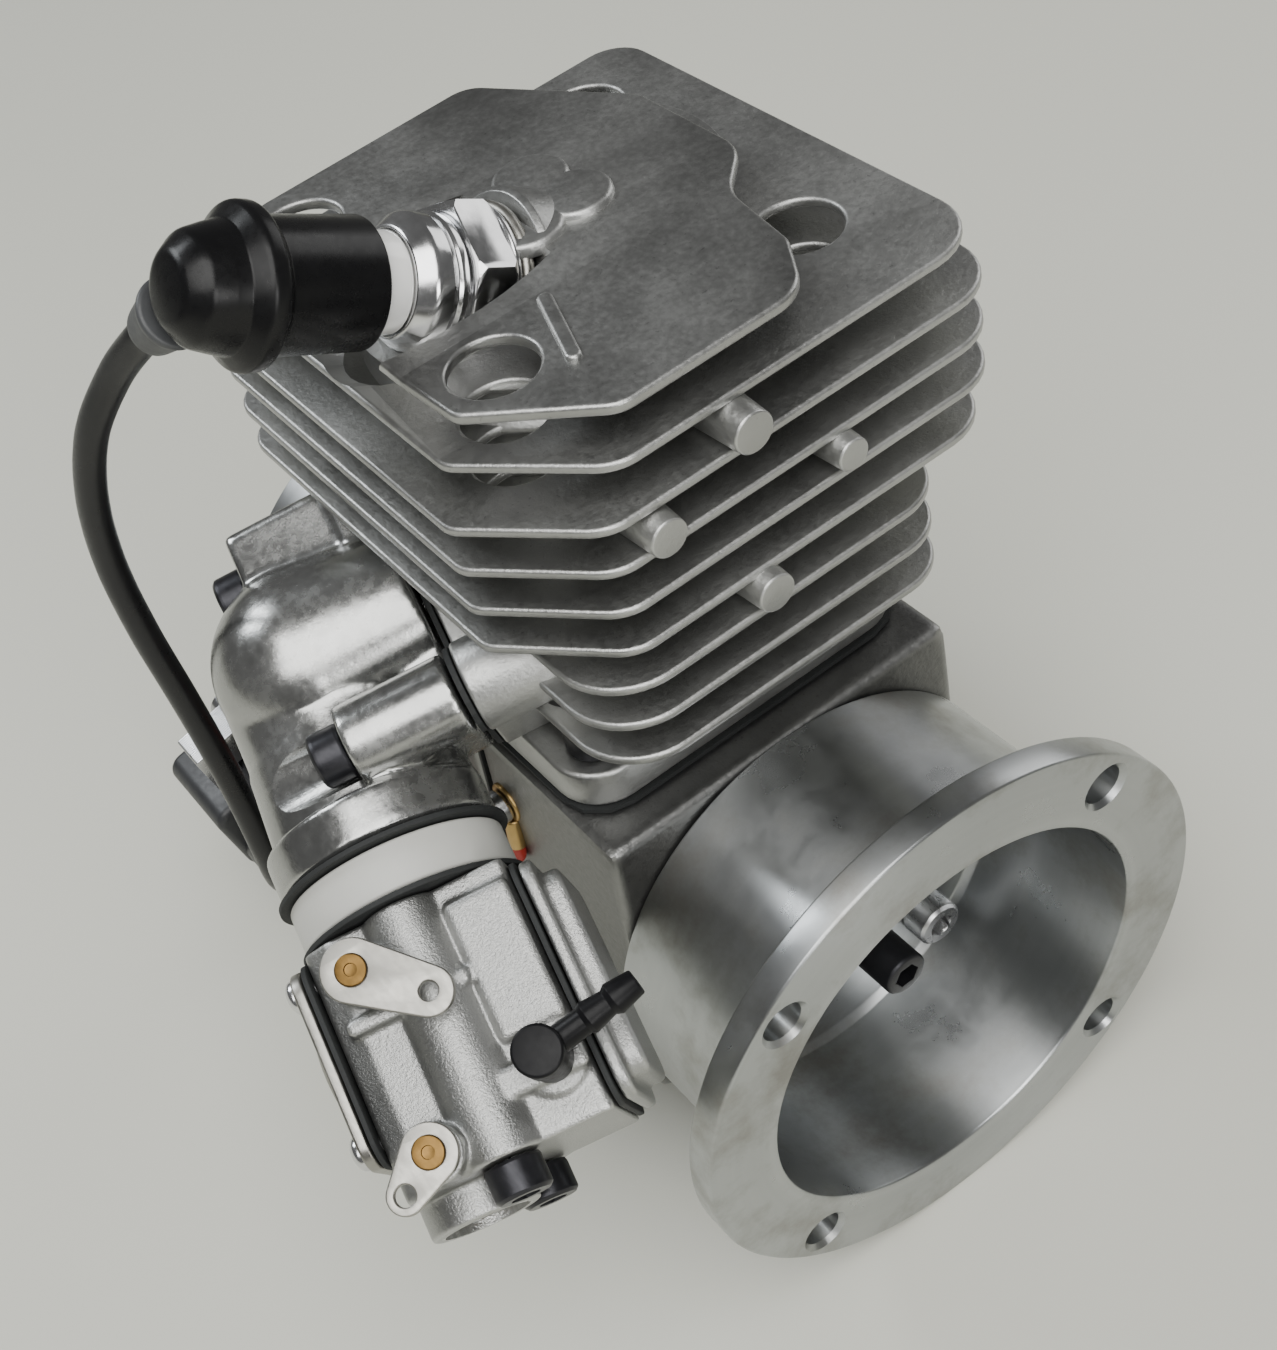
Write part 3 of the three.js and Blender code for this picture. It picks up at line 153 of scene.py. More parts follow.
def oval(half_x, half_y, x=0, y=0, count=96):
    """An ellipse at equal steps of its parameter."""
    angles = np.linspace(0, TAU, count, endpoint=False)
    return np.c_[x + half_x * np.cos(angles), y + half_y * np.sin(angles)]


def box_outline(half_x, half_y, radius, x=0, y=0):
    """A rectangle with round corners about a centre."""
    return rounded([
        (x + half_x, y + half_y, radius), (x - half_x, y + half_y, radius),
        (x - half_x, y - half_y, radius), (x + half_x, y - half_y, radius),
    ])


def lever_outline(start, start_radius, end, end_radius):
    """Two circles joined by the straight lines that touch them both."""
    start, end = np.array(start, float), np.array(end, float)
    way = math.atan2(*(end - start)[::-1])
    spread = math.acos((start_radius - end_radius) / np.linalg.norm(end - start))
    big = np.linspace(way + spread, way + TAU - spread, 40)
    small = np.linspace(way - spread, way + spread, 24)
    return np.concatenate([
        start + start_radius * np.c_[np.cos(big), np.sin(big)],
        end + end_radius * np.c_[np.cos(small), np.sin(small)],
    ])


# ---- meshes, made in millimetres ----
def to_mm(length):
    """A property's length in millimetres, rid of its last digits' noise."""
    return round(length / MM, 4)


def shown(name, data):
    """A new object that holds the data, put into the scene."""
    thing = bpy.data.objects.new(name, data)
    bpy.context.scene.collection.objects.link(thing)
    return thing


def settled(holder):
    """The mesh that an object's curve settings or modifiers give; the object itself goes."""
    graph = bpy.context.evaluated_depsgraph_get()
    mesh = bpy.data.meshes.new_from_object(holder.evaluated_get(graph))
    bpy.data.objects.remove(holder)
    return mesh


def finished(mesh, weld=1e-4):
    """Merges points that coincide and turns every face outwards."""
    shape = bmesh.new()
    shape.from_mesh(mesh)
    bmesh.ops.remove_doubles(shape, verts=shape.verts, dist=weld)
    bmesh.ops.dissolve_degenerate(shape, edges=shape.edges, dist=weld / 10)
    bmesh.ops.recalc_face_normals(shape, faces=shape.faces)
    shape.to_mesh(mesh)
    shape.free()
    return mesh


def grid_mesh(points, wrap_rows=False):
    """A surface through a grid of points: each cell of the grid is one face; columns always wrap round."""
    rows, columns = points.shape[:2]
    row = np.arange(rows if wrap_rows else rows - 1)[:, None]
    column = np.arange(columns)[None, :]
    next_row = (row + 1) % rows
    next_column = (column + 1) % columns
    corners = [
        row * columns + column, row * columns + next_column,
        next_row * columns + next_column, next_row * columns + column,
    ]
    faces = np.stack([np.broadcast_to(c, (len(row), columns)) for c in corners], -1).reshape(-1, 4)
    mesh = bpy.data.meshes.new("surface")
    mesh.from_pydata(points.reshape(-1, 3), [], faces)
    return finished(mesh)


def spun(profile, sides=96, ripple=None):
    """A profile of (radius, height) turned about Z; ripple(angle, height) is added to the radius."""
    profile = np.asarray(profile, float)
    angles = np.linspace(0, TAU, sides, endpoint=False)[None, :]
    radius = np.repeat(profile[:, :1], sides, axis=1)
    height = np.repeat(profile[:, 1:], sides, axis=1)
    if ripple:
        radius = radius + ripple(angles, height) * (radius > 1e-6)
    points = np.stack([radius * np.cos(angles), radius * np.sin(angles), height], -1)
    closed = np.allclose(profile[0], profile[-1]) or profile[0, 0] > 1e-6
    if np.allclose(profile[0], profile[-1]):
        points = points[:-1]
    return grid_mesh(points, wrap_rows=closed)


def turned(corners, sides=96, edge=0.25, steps=3, ripple=None):
    """A lathe profile whose corners off the axis are rounded by a small radius, then spun."""
    soft = [(r, z, *rest) if rest or r < 1e-6 else (r, z, edge) for r, z, *rest in corners]
    on_axis = corners[0][0] < 1e-6 and corners[-1][0] < 1e-6
    if on_axis:
        lead, tail = np.array([corners[0][:2]]), np.array([corners[-1][:2]])
        inner = rounded([(-50, corners[0][1]), *soft[1:-1], (-50, corners[-1][1])], steps)[1:-1]
        return spun(np.concatenate([lead, inner, tail]), sides, ripple)
    return spun(rounded(soft, steps), sides, ripple)


def plate(outline, low, high, edge=0.3, holes=(), steps=3):
    """A flat outline with holes, pushed from one height to another, all its edges rounded."""
    curve = bpy.data.curves.new("outline", "CURVE")
    curve.dimensions = "2D"
    curve.fill_mode = "BOTH"
    curve.extrude = max((high - low) / 2 - edge, 0)
    curve.bevel_depth = edge
    curve.bevel_resolution = steps
    curve.offset = -edge
    for ring in [outline, *holes]:
        spline = curve.splines.new("POLY")
        spline.points.add(len(ring) - 1)
        spline.points.foreach_set("co", np.c_[ring, np.zeros(len(ring)), np.ones(len(ring))].ravel())
        spline.use_cyclic_u = True
    mesh = settled(shown("outline", curve))
    mesh.transform(at(0, 0, (low + high) / 2))
    return finished(mesh, 1e-3)


def block(low, high, edge=0.3):
    """A box between two corners, with rounded edges."""
    middle = [(a + b) / 2 for a, b in zip(low, high)]
    half = [(b - a) / 2 for a, b in zip(low, high)]
    return plate(box_outline(half[0], half[1], edge * 1.2, *middle[:2]), low[2], high[2], edge)


def cutter_box(low, high):
    """A plain box used only to cut with."""
    corners = np.array([(x, y, z) for x in (low[0], high[0]) for y in (low[1], high[1])
                        for z in (low[2], high[2])])
    faces = [(0, 1, 3, 2), (4, 6, 7, 5), (0, 4, 5, 1), (2, 3, 7, 6), (0, 2, 6, 4), (1, 5, 7, 3)]
    mesh = bpy.data.meshes.new("cutter")
    mesh.from_pydata(corners, [], faces)
    return finished(mesh)


def swept(path, radius, sides=16, steps=8):
    """A round tube: circles square to a smooth path, their frames set from one fixed direction."""
    path = smooth_path(path, steps)
    ways = np.gradient(path, axis=0)
    ways /= np.linalg.norm(ways, axis=1)[:, None]
    side = np.cross(ways, (0.31, 0.22, 0.93))
    side /= np.linalg.norm(side, axis=1)[:, None]
    other = np.cross(ways, side)
    angles = np.linspace(0, TAU, sides, endpoint=False)[None, :, None]
    radii = np.broadcast_to(np.asarray(radius, float), len(path))[:, None, None]
    rings = path[:, None] + radii * (np.cos(angles) * side[:, None] + np.sin(angles) * other[:, None])
    ends = [np.repeat(path[k][None, None], sides, axis=1) for k in (0, -1)]
    return grid_mesh(np.concatenate([ends[0], rings, ends[1]]))


def smooth_path(points, steps):
    """A curve through every point, by the cubic whose slopes follow the neighbouring points."""
    points = np.asarray(points, float)
    padded = np.concatenate([[2 * points[0] - points[1]], points, [2 * points[-1] - points[-2]]])
    p0, p1, p2, p3 = padded[:-3], padded[1:-2], padded[2:-1], padded[3:]
    t = np.linspace(0, 1, steps, endpoint=False)[None, :, None]
    p0, p1, p2, p3 = (p[:, None] for p in (p0, p1, p2, p3))
    curve = 0.5 * (
        2 * p1 + (p2 - p0) * t + (2 * p0 - 5 * p1 + 4 * p2 - p3) * t**2 + (3 * p1 - p0 - 3 * p2 + p3) * t**3
    )
    return np.concatenate([curve.reshape(-1, 3), points[-1:]])


def moved(mesh, matrix):
    """The same mesh, taken to another place."""
    mesh.transform(matrix)
    return mesh


def facing(way):
    """The turn that takes +Z to a direction."""
    return Vector(way).to_track_quat("Z", "Y").to_matrix().to_4x4()


def joined(*meshes):
    """Several meshes put into one, not melted together."""
    shape = bmesh.new()
    for mesh in meshes:
        shape.from_mesh(mesh)
    whole = bpy.data.meshes.new("joined")
    shape.to_mesh(whole)
    shape.free()
    return whole


def worked(mesh, add_modifiers):
    """The mesh after some modifiers have been applied to it."""
    holder = shown("work", mesh)
    add_modifiers(holder)
    return settled(holder)


def crossed(mesh, tool, operation):
    """The mesh after one exact Boolean with another closed shape."""
    cutter = shown("tool", tool)

    def cut(holder):
        step = holder.modifiers.new("cut", "BOOLEAN")
        step.operation = operation
        step.solver = "EXACT"
        step.object = cutter

    result = worked(mesh, cut)
    bpy.data.objects.remove(cutter)
    return result


def carved(mesh, *tools):
    """The mesh with other closed shapes cut out of it."""
    for tool in tools:
        mesh = crossed(mesh, tool, "DIFFERENCE")
    return mesh


def cast(mesh, voxel, passes=6):
    """Overlapping shapes melted into one skin, whose inner and outer corners are then relaxed."""

    def melt(holder):
        skin = holder.modifiers.new("skin", "REMESH")
        skin.mode = "VOXEL"
        skin.voxel_size = voxel
        relax = holder.modifiers.new("relax", "SMOOTH")
        relax.factor = 0.5
        relax.iterations = passes

    return worked(mesh, melt)


def rod(radius, start, end, edge=0.2, sides=48):
    """A plain round bar from one point to another."""
    start, end = Vector(start), Vector(end)
    length = (end - start).length
    mesh = turned([(0, 0), (radius, 0), (radius, length), (0, length)], sides, edge)
    return moved(mesh, at(*start) @ facing(end - start))


def piece(name, mesh, place, finish, replaces=(), body="engine", crisp=38):
    """Puts a mesh into the scene at its place, and says what it moves with and which nodes it stands for.

    The slot is the finish's own name; edges sharper than crisp degrees stay sharp.
    """
    mesh.transform(Matrix.Scale(MM, 4) @ place)
    mesh.name = name
    mesh.materials.clear()
    mesh.materials.append(FINISH[finish])
    mesh.shade_smooth()
    mesh.set_sharp_from_angle(angle=math.radians(crisp))
    thing = shown(name, mesh)
    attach(thing, body)
    if replaces:
        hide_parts(*replaces)


# ---- finishes ----
FINISH = {}


class Shader:
    """Adds nodes to a material and joins them up by name."""

    def __init__(self, name):
        self.material = bpy.data.materials.new(name)
        self.material.use_nodes = True
        self.tree = self.material.node_tree
        self.surface = self.tree.nodes["Principled BSDF"]
        self.coords = self.add("ShaderNodeTexCoord").outputs["Object"]

    def add(self, kind, settings=None, **inputs):
        """A new node; an input is given by its name, or by its number after an underscore."""
        node = self.tree.nodes.new(kind)
        for key, value in (settings or {}).items():
            setattr(node, key, value)
        for key, value in inputs.items():
            socket = node.inputs[int(key[1:]) if key[0] == "_" else key.replace("_", " ")]
            if isinstance(value, bpy.types.NodeSocket):
                self.tree.links.new(value, socket)
            else:
                socket.default_value = value
        return node

    def noise(self, scale, detail=4, rough=0.55, stretch=None):
        """Clouds of one size over the object, stretched along some axes if asked."""
        vector = self.coords
        if stretch:
            vector = self.add("ShaderNodeMapping", Vector=vector, Scale=stretch).outputs[0]
        return self.add("ShaderNodeTexNoise", Vector=vector, Scale=scale, Detail=detail, Roughness=rough).outputs[0]

    def ramp(self, factor, *stops):
        """A colour for each value, blended between (place, colour) stops."""
        node = self.add("ShaderNodeValToRGB", Fac=factor)
        node.color_ramp.elements.remove(node.color_ramp.elements[1])
        for k, (place, colour) in enumerate(stops):
            stop = node.color_ramp.elements[0] if k == 0 else node.color_ramp.elements.new(place)
            stop.position = place
            stop.color = (*colour, 1) if len(colour) == 3 else colour
        return node.outputs[0]

    def spread(self, value, low, high, to_low, to_high):
        """A value taken from one range to another in a straight line, and held at its ends."""
        return self.add(
            "ShaderNodeMapRange", {"clamp": True}, Value=value,
            From_Min=low, From_Max=high, To_Min=to_low, To_Max=to_high,
        ).outputs[0]

    def maths(self, operation, a, b=0.0):
        """One sum on two values."""
        return self.add("ShaderNodeMath", {"operation": operation}, _0=a, _1=b).outputs[0]

    def mix(self, factor, a, b):
        """The first colour where the factor is nought, the second where it is one."""
        node = self.add("ShaderNodeMix", {"data_type": "RGBA"}, _0=factor)
        for socket, value in ((node.inputs[6], a), (node.inputs[7], b)):
            if isinstance(value, bpy.types.NodeSocket):
                self.tree.links.new(value, socket)
            else:
                socket.default_value = (*value, 1)
        return node.outputs[2]

    def bump(self, height, distance, strength=1.0, normal=None):
        """A skin whose relief follows a value, on top of another skin if there is one."""
        node = self.add("ShaderNodeBump", Height=height, Distance=distance, Strength=strength)
        if normal:
            self.tree.links.new(normal, node.inputs["Normal"])
        return node.outputs[0]

    def plug(self, socket, value):
        """Sets one of the surface's own inputs, or links a node to it."""
        target = self.surface.inputs[socket]
        if isinstance(value, bpy.types.NodeSocket):
            self.tree.links.new(value, target)
        else:
            target.default_value = value


def tinted(colour, factor):
    """A colour made lighter or darker, each channel no more than one."""
    return tuple(min(channel * factor, 1.0) for channel in colour)


def cast_finish(name, colour, rough=0.42, grain=900, depth=0.00006, blotch=45, dark=0.62, pits=0.35):
    """Cast metal: slow clouds of tone, a few dark pores, edges painted lighter for wear and as a painted highlight,
    and a fine pebbled skin.
    """
    s = Shader(name)
    slow = s.noise(blotch, 3, 0.5)
    fine = s.noise(grain, 5, 0.6)
    pores = s.noise(grain * 1.7, 2, 0.5)
    base = s.ramp(slow, (0.25, tinted(colour, dark + 0.2)), (0.5, colour), (0.78, tinted(colour, 1.18)))
    spots = s.spread(pores, 0.26, 0.34, 1.0, 0.0)
    base = s.mix(s.maths("MULTIPLY", spots, pits), base, tinted(colour, dark * 0.45))
    base = s.mix(s.spread(fine, 0.3, 0.75, 0.0, 0.22), base, tinted(colour, 1.3))
    # painted highlight and wear: convex edges, found by pointiness, are lightened towards 2.2 times the colour
    edges = s.add("ShaderNodeNewGeometry").outputs["Pointiness"]
    base = s.mix(s.spread(edges, 0.515, 0.56, 0.0, 0.6), base, tinted(colour, 2.2))
    s.plug("Base Color", base)
    s.plug("Metallic", 0.94)
    s.plug("Roughness", s.spread(s.maths("ADD", slow, fine), 0.7, 1.3, rough - 0.08, rough + 0.11))
    skin = s.bump(fine, depth, 0.9)
    s.plug("Normal", s.bump(pores, depth * 1.2, 0.4, skin))
    return s.material


def turned_finish(name, colour, rough, pitch, stain):
    """Lathe-turned metal: fine rings round the crankshaft's axis, slow bands of tone and a few stains."""
    s = Shader(name)
    centre = tuple(-c * MM for c in CRANK_CENTRE)
    vector = s.add("ShaderNodeMapping", Vector=s.coords, Location=centre).outputs[0]
    x, y, z = s.add("ShaderNodeSeparateXYZ", _0=vector).outputs
    radius = s.maths("SQRT", s.maths("ADD", s.maths("POWER", x, 2.0), s.maths("POWER", z, 2.0)))
    place = s.maths("ADD", radius, y)
    rings = s.add("ShaderNodeTexNoise", {"noise_dimensions": "1D"}, W=place, Scale=1 / pitch, Detail=3.0).outputs[0]
    bands = s.add("ShaderNodeTexNoise", {"noise_dimensions": "1D"}, W=place, Scale=260.0, Detail=2.0).outputs[0]
    blots = s.noise(55, 6, 0.65)
    base = s.ramp(bands, (0.3, tinted(colour, 0.94)), (0.6, colour), (0.8, tinted(colour, 1.05)))
    marks = s.maths("MULTIPLY", s.spread(blots, 0.5, 0.7, 0.0, 1.0), stain)
    base = s.mix(marks, base, tinted((colour[0] * 0.92, colour[1] * 0.86, colour[2] * 0.76), 0.62))
    s.plug("Base Color", base)
    s.plug("Metallic", 1.0)
    s.plug("Roughness", s.spread(blots, 0.35, 0.7, rough - 0.05, rough + 0.12))
    s.plug("Anisotropic", 0.75)
    s.plug("Anisotropic Rotation", 0.25)
    s.plug("Tangent", s.add("ShaderNodeTangent", {"direction_type": "RADIAL", "axis": "Y"}).outputs[0])
    s.plug("Normal", s.bump(rings, 0.000003, 0.4))
    return s.material


def plain_metal(name, colour, rough=0.22, metallic=1.0, grain=600, depth=0.00001, tone=0.8, scratch=0.5):
    """Plated, drawn or blackened metal: faint scratches one way, cloudy tone and worn patches."""
    s = Shader(name)
    clouds = s.noise(140, 4, 0.6)
    lines = s.noise(grain, 3, 0.6, (1.0, 0.12, 1.0))
    s.plug("Base Color", s.ramp(clouds, (0.3, tinted(colour, tone)), (0.62, colour), (0.8, tinted(colour, 1.12))))
    s.plug("Metallic", metallic)
    s.plug("Roughness", s.spread(s.maths("ADD", clouds, lines), 0.7, 1.3, rough - 0.06, rough + 0.12))
    s.plug("Normal", s.bump(lines, depth, scratch))
    return s.material


def moulded(name, colour, rough=0.4, grain=1500, depth=0.00001, tone=0.85, coat=0.0, glow=0.0, shine=0.5):
    """Rubber, plastic, ceramic or gasket sheet: even colour with faint cloudiness and a moulded skin."""
    s = Shader(name)
    clouds = s.noise(90, 5, 0.6)
    skin = s.noise(grain, 4, 0.6)
    s.plug("Base Color", s.ramp(clouds, (0.3, tinted(colour, tone)), (0.65, colour), (0.8, tinted(colour, 1.06))))
    s.plug("Roughness", s.spread(s.maths("ADD", clouds, skin), 0.7, 1.3, rough - 0.06, rough + 0.1))
    s.plug("Specular IOR Level", shine)
    s.plug("Coat Weight", coat)
    s.plug("Coat Roughness", 0.08)
    s.plug("Subsurface Weight", glow)
    s.plug("Subsurface Radius", (0.002, 0.002, 0.0018))
    s.plug("Normal", s.bump(skin, depth, 0.6))
    return s.material


def make_finishes(look):
    """One material for each finish; a finish's name is the record's slot it serves."""
    alloy, turned_alloy, steel = (tuple(c) for c in (look.cast_colour, look.turned_colour, look.steel_colour))
    bare = tinted(turned_alloy, 0.92)
    FINISH.update(
        cast_alloy=cast_finish("cast_alloy", alloy, 0.4, 1100, 0.00007, 50),
        head_alloy=cast_finish("head_alloy", tinted(alloy, 0.92), 0.36, 1000, 0.00006, 70, 0.5),
        case_alloy=cast_finish("case_alloy", tinted(alloy, 0.5), 0.42, 800, 0.0001),
        polished_alloy=cast_finish("polished_alloy", tinted(alloy, 1.05), 0.23, 700, 0.00003, 90, 0.6, 0.25),
        carb_alloy=cast_finish("carb_alloy", tinted(alloy, 1.02), 0.36, 2200, 0.00012, 60, 0.6, 0.3),
        machined_alloy=turned_finish("machined_alloy", bare, 0.31, 0.00009, 0.15),
        flange_alloy=turned_finish("flange_alloy", bare, 0.31, 0.00011, 0.75),
        steel=plain_metal("steel", steel, 0.26),
        plated=plain_metal("plated", tinted(steel, 1.2), 0.16, depth=0.000006),
        zinc=plain_metal("zinc", (0.38, 0.37, 0.34), 0.36, grain=1400, depth=0.00002),
        black_steel=plain_metal("black_steel", (0.035, 0.035, 0.04), 0.34, 0.75, 1800, 0.00002, 0.7),
        brass=plain_metal("brass", (0.50, 0.34, 0.14), 0.33, grain=1200, depth=0.00002, tone=0.65),
        bronze=plain_metal("bronze", (0.22, 0.13, 0.042), 0.36, grain=1200, depth=0.00002, tone=0.35),
        rubber=moulded("rubber", (0.006, 0.006, 0.0065), 0.27, 900, 0.000006, 0.8, shine=0.22),
        lead_rubber=moulded("lead_rubber", (0.007, 0.007, 0.008), 0.3, 1100, 0.00001, 0.8, shine=0.35),
        grey_rubber=moulded("grey_rubber", (0.05, 0.052, 0.055), 0.45, 900, 0.00003),
        gasket_paper=moulded("gasket_paper", (0.02, 0.022, 0.022), 0.75, 2500, 0.00005, 0.6),
        ceramic=moulded("ceramic", (0.86, 0.86, 0.84), 0.12, 500, 0.000004, 0.97, 0.6, 0.1),
        insulator=moulded("insulator", (0.55, 0.55, 0.515), 0.42, 1300, 0.00002, 0.93, 0.0, 0.1),
        black_plastic=moulded("black_plastic", (0.007, 0.007, 0.008), 0.36, 1200, 0.00001, 0.7, shine=0.16),
        epoxy=moulded("epoxy", (0.03, 0.031, 0.034), 0.42, 700, 0.00004, 0.75),
        red_sleeve=moulded("red_sleeve", (0.45, 0.03, 0.02), 0.4),
    )


# ---- shared small parts ----
def knurl(low, high, count=36, depth=0.09):
    """Ridges round a screw head between two heights: a cosine of the angle."""
    return lambda angle, height: depth * np.cos(count * angle) * ((height > low) & (height < high))


def cap_screw(radius=4.25, height=5, socket=4, shank=2.5, length=8, ribs=True):
    """A socket screw whose head stands on z = 0: turned head with ribs, a chamfered six-sided recess."""
    soft = [
        (0, -length), (shank, -length, 0.4), (shank, -0.1, 0.05), (shank, 0, 0.02), (radius - 0.2, 0, 0.1),
        (radius, 0.5, 0.15), (radius, height * 0.8, 0.1), (radius - 0.05, height - 0.5, 0.2),
        (radius - 0.55, height, 0.15), (0, height),
    ]
    ripple = knurl(0.7, height * 0.78) if ribs else None
    head = turned(soft, 144, ripple=ripple)
    recess = plate(circle(0, 0, socket / math.sqrt(3), 6), height * 0.45, height + 1, 0.02)
    recess = moved(recess, turn(17.19, "Z"))
    mouth = turned([(0, height - 0.35), (socket / 2, height - 0.35, 0.02), (socket / 1.65, height + 0.4, 0.02),
                    (0, height + 0.4)], 48, 0.02)
    return carved(head, recess, mouth)


def thread(low, high, pitch, depth=0.18):
    """A screw thread as a ripple: a triangle wave of height plus angle, between two heights."""
    def ripple(angle, height):
        wave = np.abs((((height + pitch * angle / TAU) / pitch) % 1) - 0.5) * 2
        return -depth * wave * ((height > low) & (height < high))
    return ripple


def pan_screw(radius=2.6, height=1.7, length=3):
    """A domed screw with a cross recess: a low crown turned about Z, two crossed slots cut from it."""
    crown = np.linspace(0, math.pi / 2, 10)
    dome = np.c_[radius * np.cos(crown), 0.35 + (height - 0.35) * np.sin(crown)]
    profile = np.concatenate([[(0, -length), (1.3, -length), (1.3, 0), (radius, 0)], dome[:-1], [(0, height)]])
    slot = [block((-a, -b, height - 0.9), (a, b, height + 1), 0.05) for a, b in ((1.5, 0.32), (0.32, 1.5))]
    return carved(spun(profile, 48), *slot)


def screw_places(mesh, places):
    """Copies of one screw, each turned so that its head looks along its own direction."""
    return [moved(mesh.copy(), at(*spot) @ facing(way)) for spot, way in places]


# ---- cylinder ----
def fin_outline(left, right, front, back, slant=0):
    """A rectangle with round corners, whose front left corner is cut off aslant if a slant is given."""
    shared = [(right, -front, 9), (right, back, 6), (-left, back, 6)]
    if not slant:
        return rounded([*shared, (-left, -front, 11)], 12)
    return rounded([*shared, (-left, -front + slant, 4), (-left + slant * 0.85, -front, 7)])


def plug_pocket():
    """The room that the spark plug needs, as a round bar along its axis."""
    return moved(rod(POCKET_RADIUS, (0, 0, 0), (0, 0, 40)), PLUG)


def fin_plates(thickness):
    """The fins: flat outlines with rounded rims, trimmed round the plug and the intake."""
    access = [circle(x, y, ACCESS_RADIUS) for x, y in BOLT_CORNERS]
    lobe = ELBOW_FRONT[1:]
    clear = [moved(tool, INTAKE) for tool in (
        cutter_box((-1.4, -26, -17), (60, 60, 17.5)), rod(7.7, (-1.4, *lobe), (60, *lobe), 0.1))]
    half = thickness / 2
    plates = []
    for k in range(FIN_COUNT):
        z = FIN_TOP - k * FIN_PITCH
        low = k >= LOW_FIN
        if k == 0:
            outline = fin_outline(35.3, 39, 43.5, 35, 17)
        elif low:
            outline = fin_outline(31.3, 29.5, 45, 38)
        else:
            outline = fin_outline(38.3, 38.5 if k == LOW_FIN - 1 else 40.5, 45, 38, 16)
        fin = plate(outline, z - half, z + half, 0.55, () if low else access, 4)
        if low:
            fin = carved(fin, *[rod(ACCESS_RADIUS, (x, y, z - 3), (x, y, z + 3)) for x, y in BOLT_CORNERS])
        fin = moved(fin, ENGINE)
        if k < 3:
            fin = carved(fin, plug_pocket())
        if low:
            fin = carved(fin, *[tool.copy() for tool in clear])
        plates.append(fin)
    return plates


def barrel_mesh():
    """The barrel's wall: straight between fins, flaring into each of them, with its bore and chamber inside."""
    heights = np.linspace(BASE_TOP - 1, FIN_TOP, 420)
    fins = FIN_TOP - FIN_PITCH * np.arange(FIN_COUNT)
    nearest = np.abs(heights[:, None] - fins[None]).min(1)
    radii = 27 + 1.8 * np.exp(-((nearest / 1.5) ** 2))
    outer = np.c_[radii, heights]
    inner = [(20, FIN_TOP), (10.4, 99), (13, 94.2), (BORE_RADIUS, 93.6), (BORE_RADIUS, BASE_TOP - 1)]
    return spun(np.concatenate([outer, inner, outer[:1]]), 128)


def cap_plate_mesh():
    """The raised plate over the top fin, with its access holes and the plug's pocket cut out."""
    outline = rounded([
        (-33.2, -16.5, 3), (-32.6, -28, 3), (-18, -42.3, 5), (10, -42.3, 7), (15.5, -33, 4), (17.6, -19, 8),
        (24.9, -12, 7), (24.9, 10, 5), (11, 33.6, 5), (-26, 33.6, 5), (-33, 27, 4),
    ])
    left, right = BOLT_CORNERS[:2], BOLT_CORNERS[2:]
    holes = [circle(x, y, ACCESS_RADIUS) for x, y in left]
    top = plate(outline, CAP_PLATE - 0.9, CAP_PLATE + 0.9, 0.6, holes, 4)
    edge_holes = [rod(ACCESS_RADIUS, (x, y, 105), (x, y, 120)) for x, y in right]
    return carved(moved(carved(top, *edge_holes), ENGINE), plug_pocket())


def intake_plate(low, high, grow=0.0, edge=0.5):
    """The rectangle round the intake port, pushed along the intake's X."""
    holes = [circle(0, 0, 8), circle(0, 15.4, BOLT_HOLE)]
    outline = box_outline(9 + grow, 23 + grow, 5)
    return moved(plate(outline, low, high, edge, holes), turn(90, "Y") @ turn(180, "Z"))


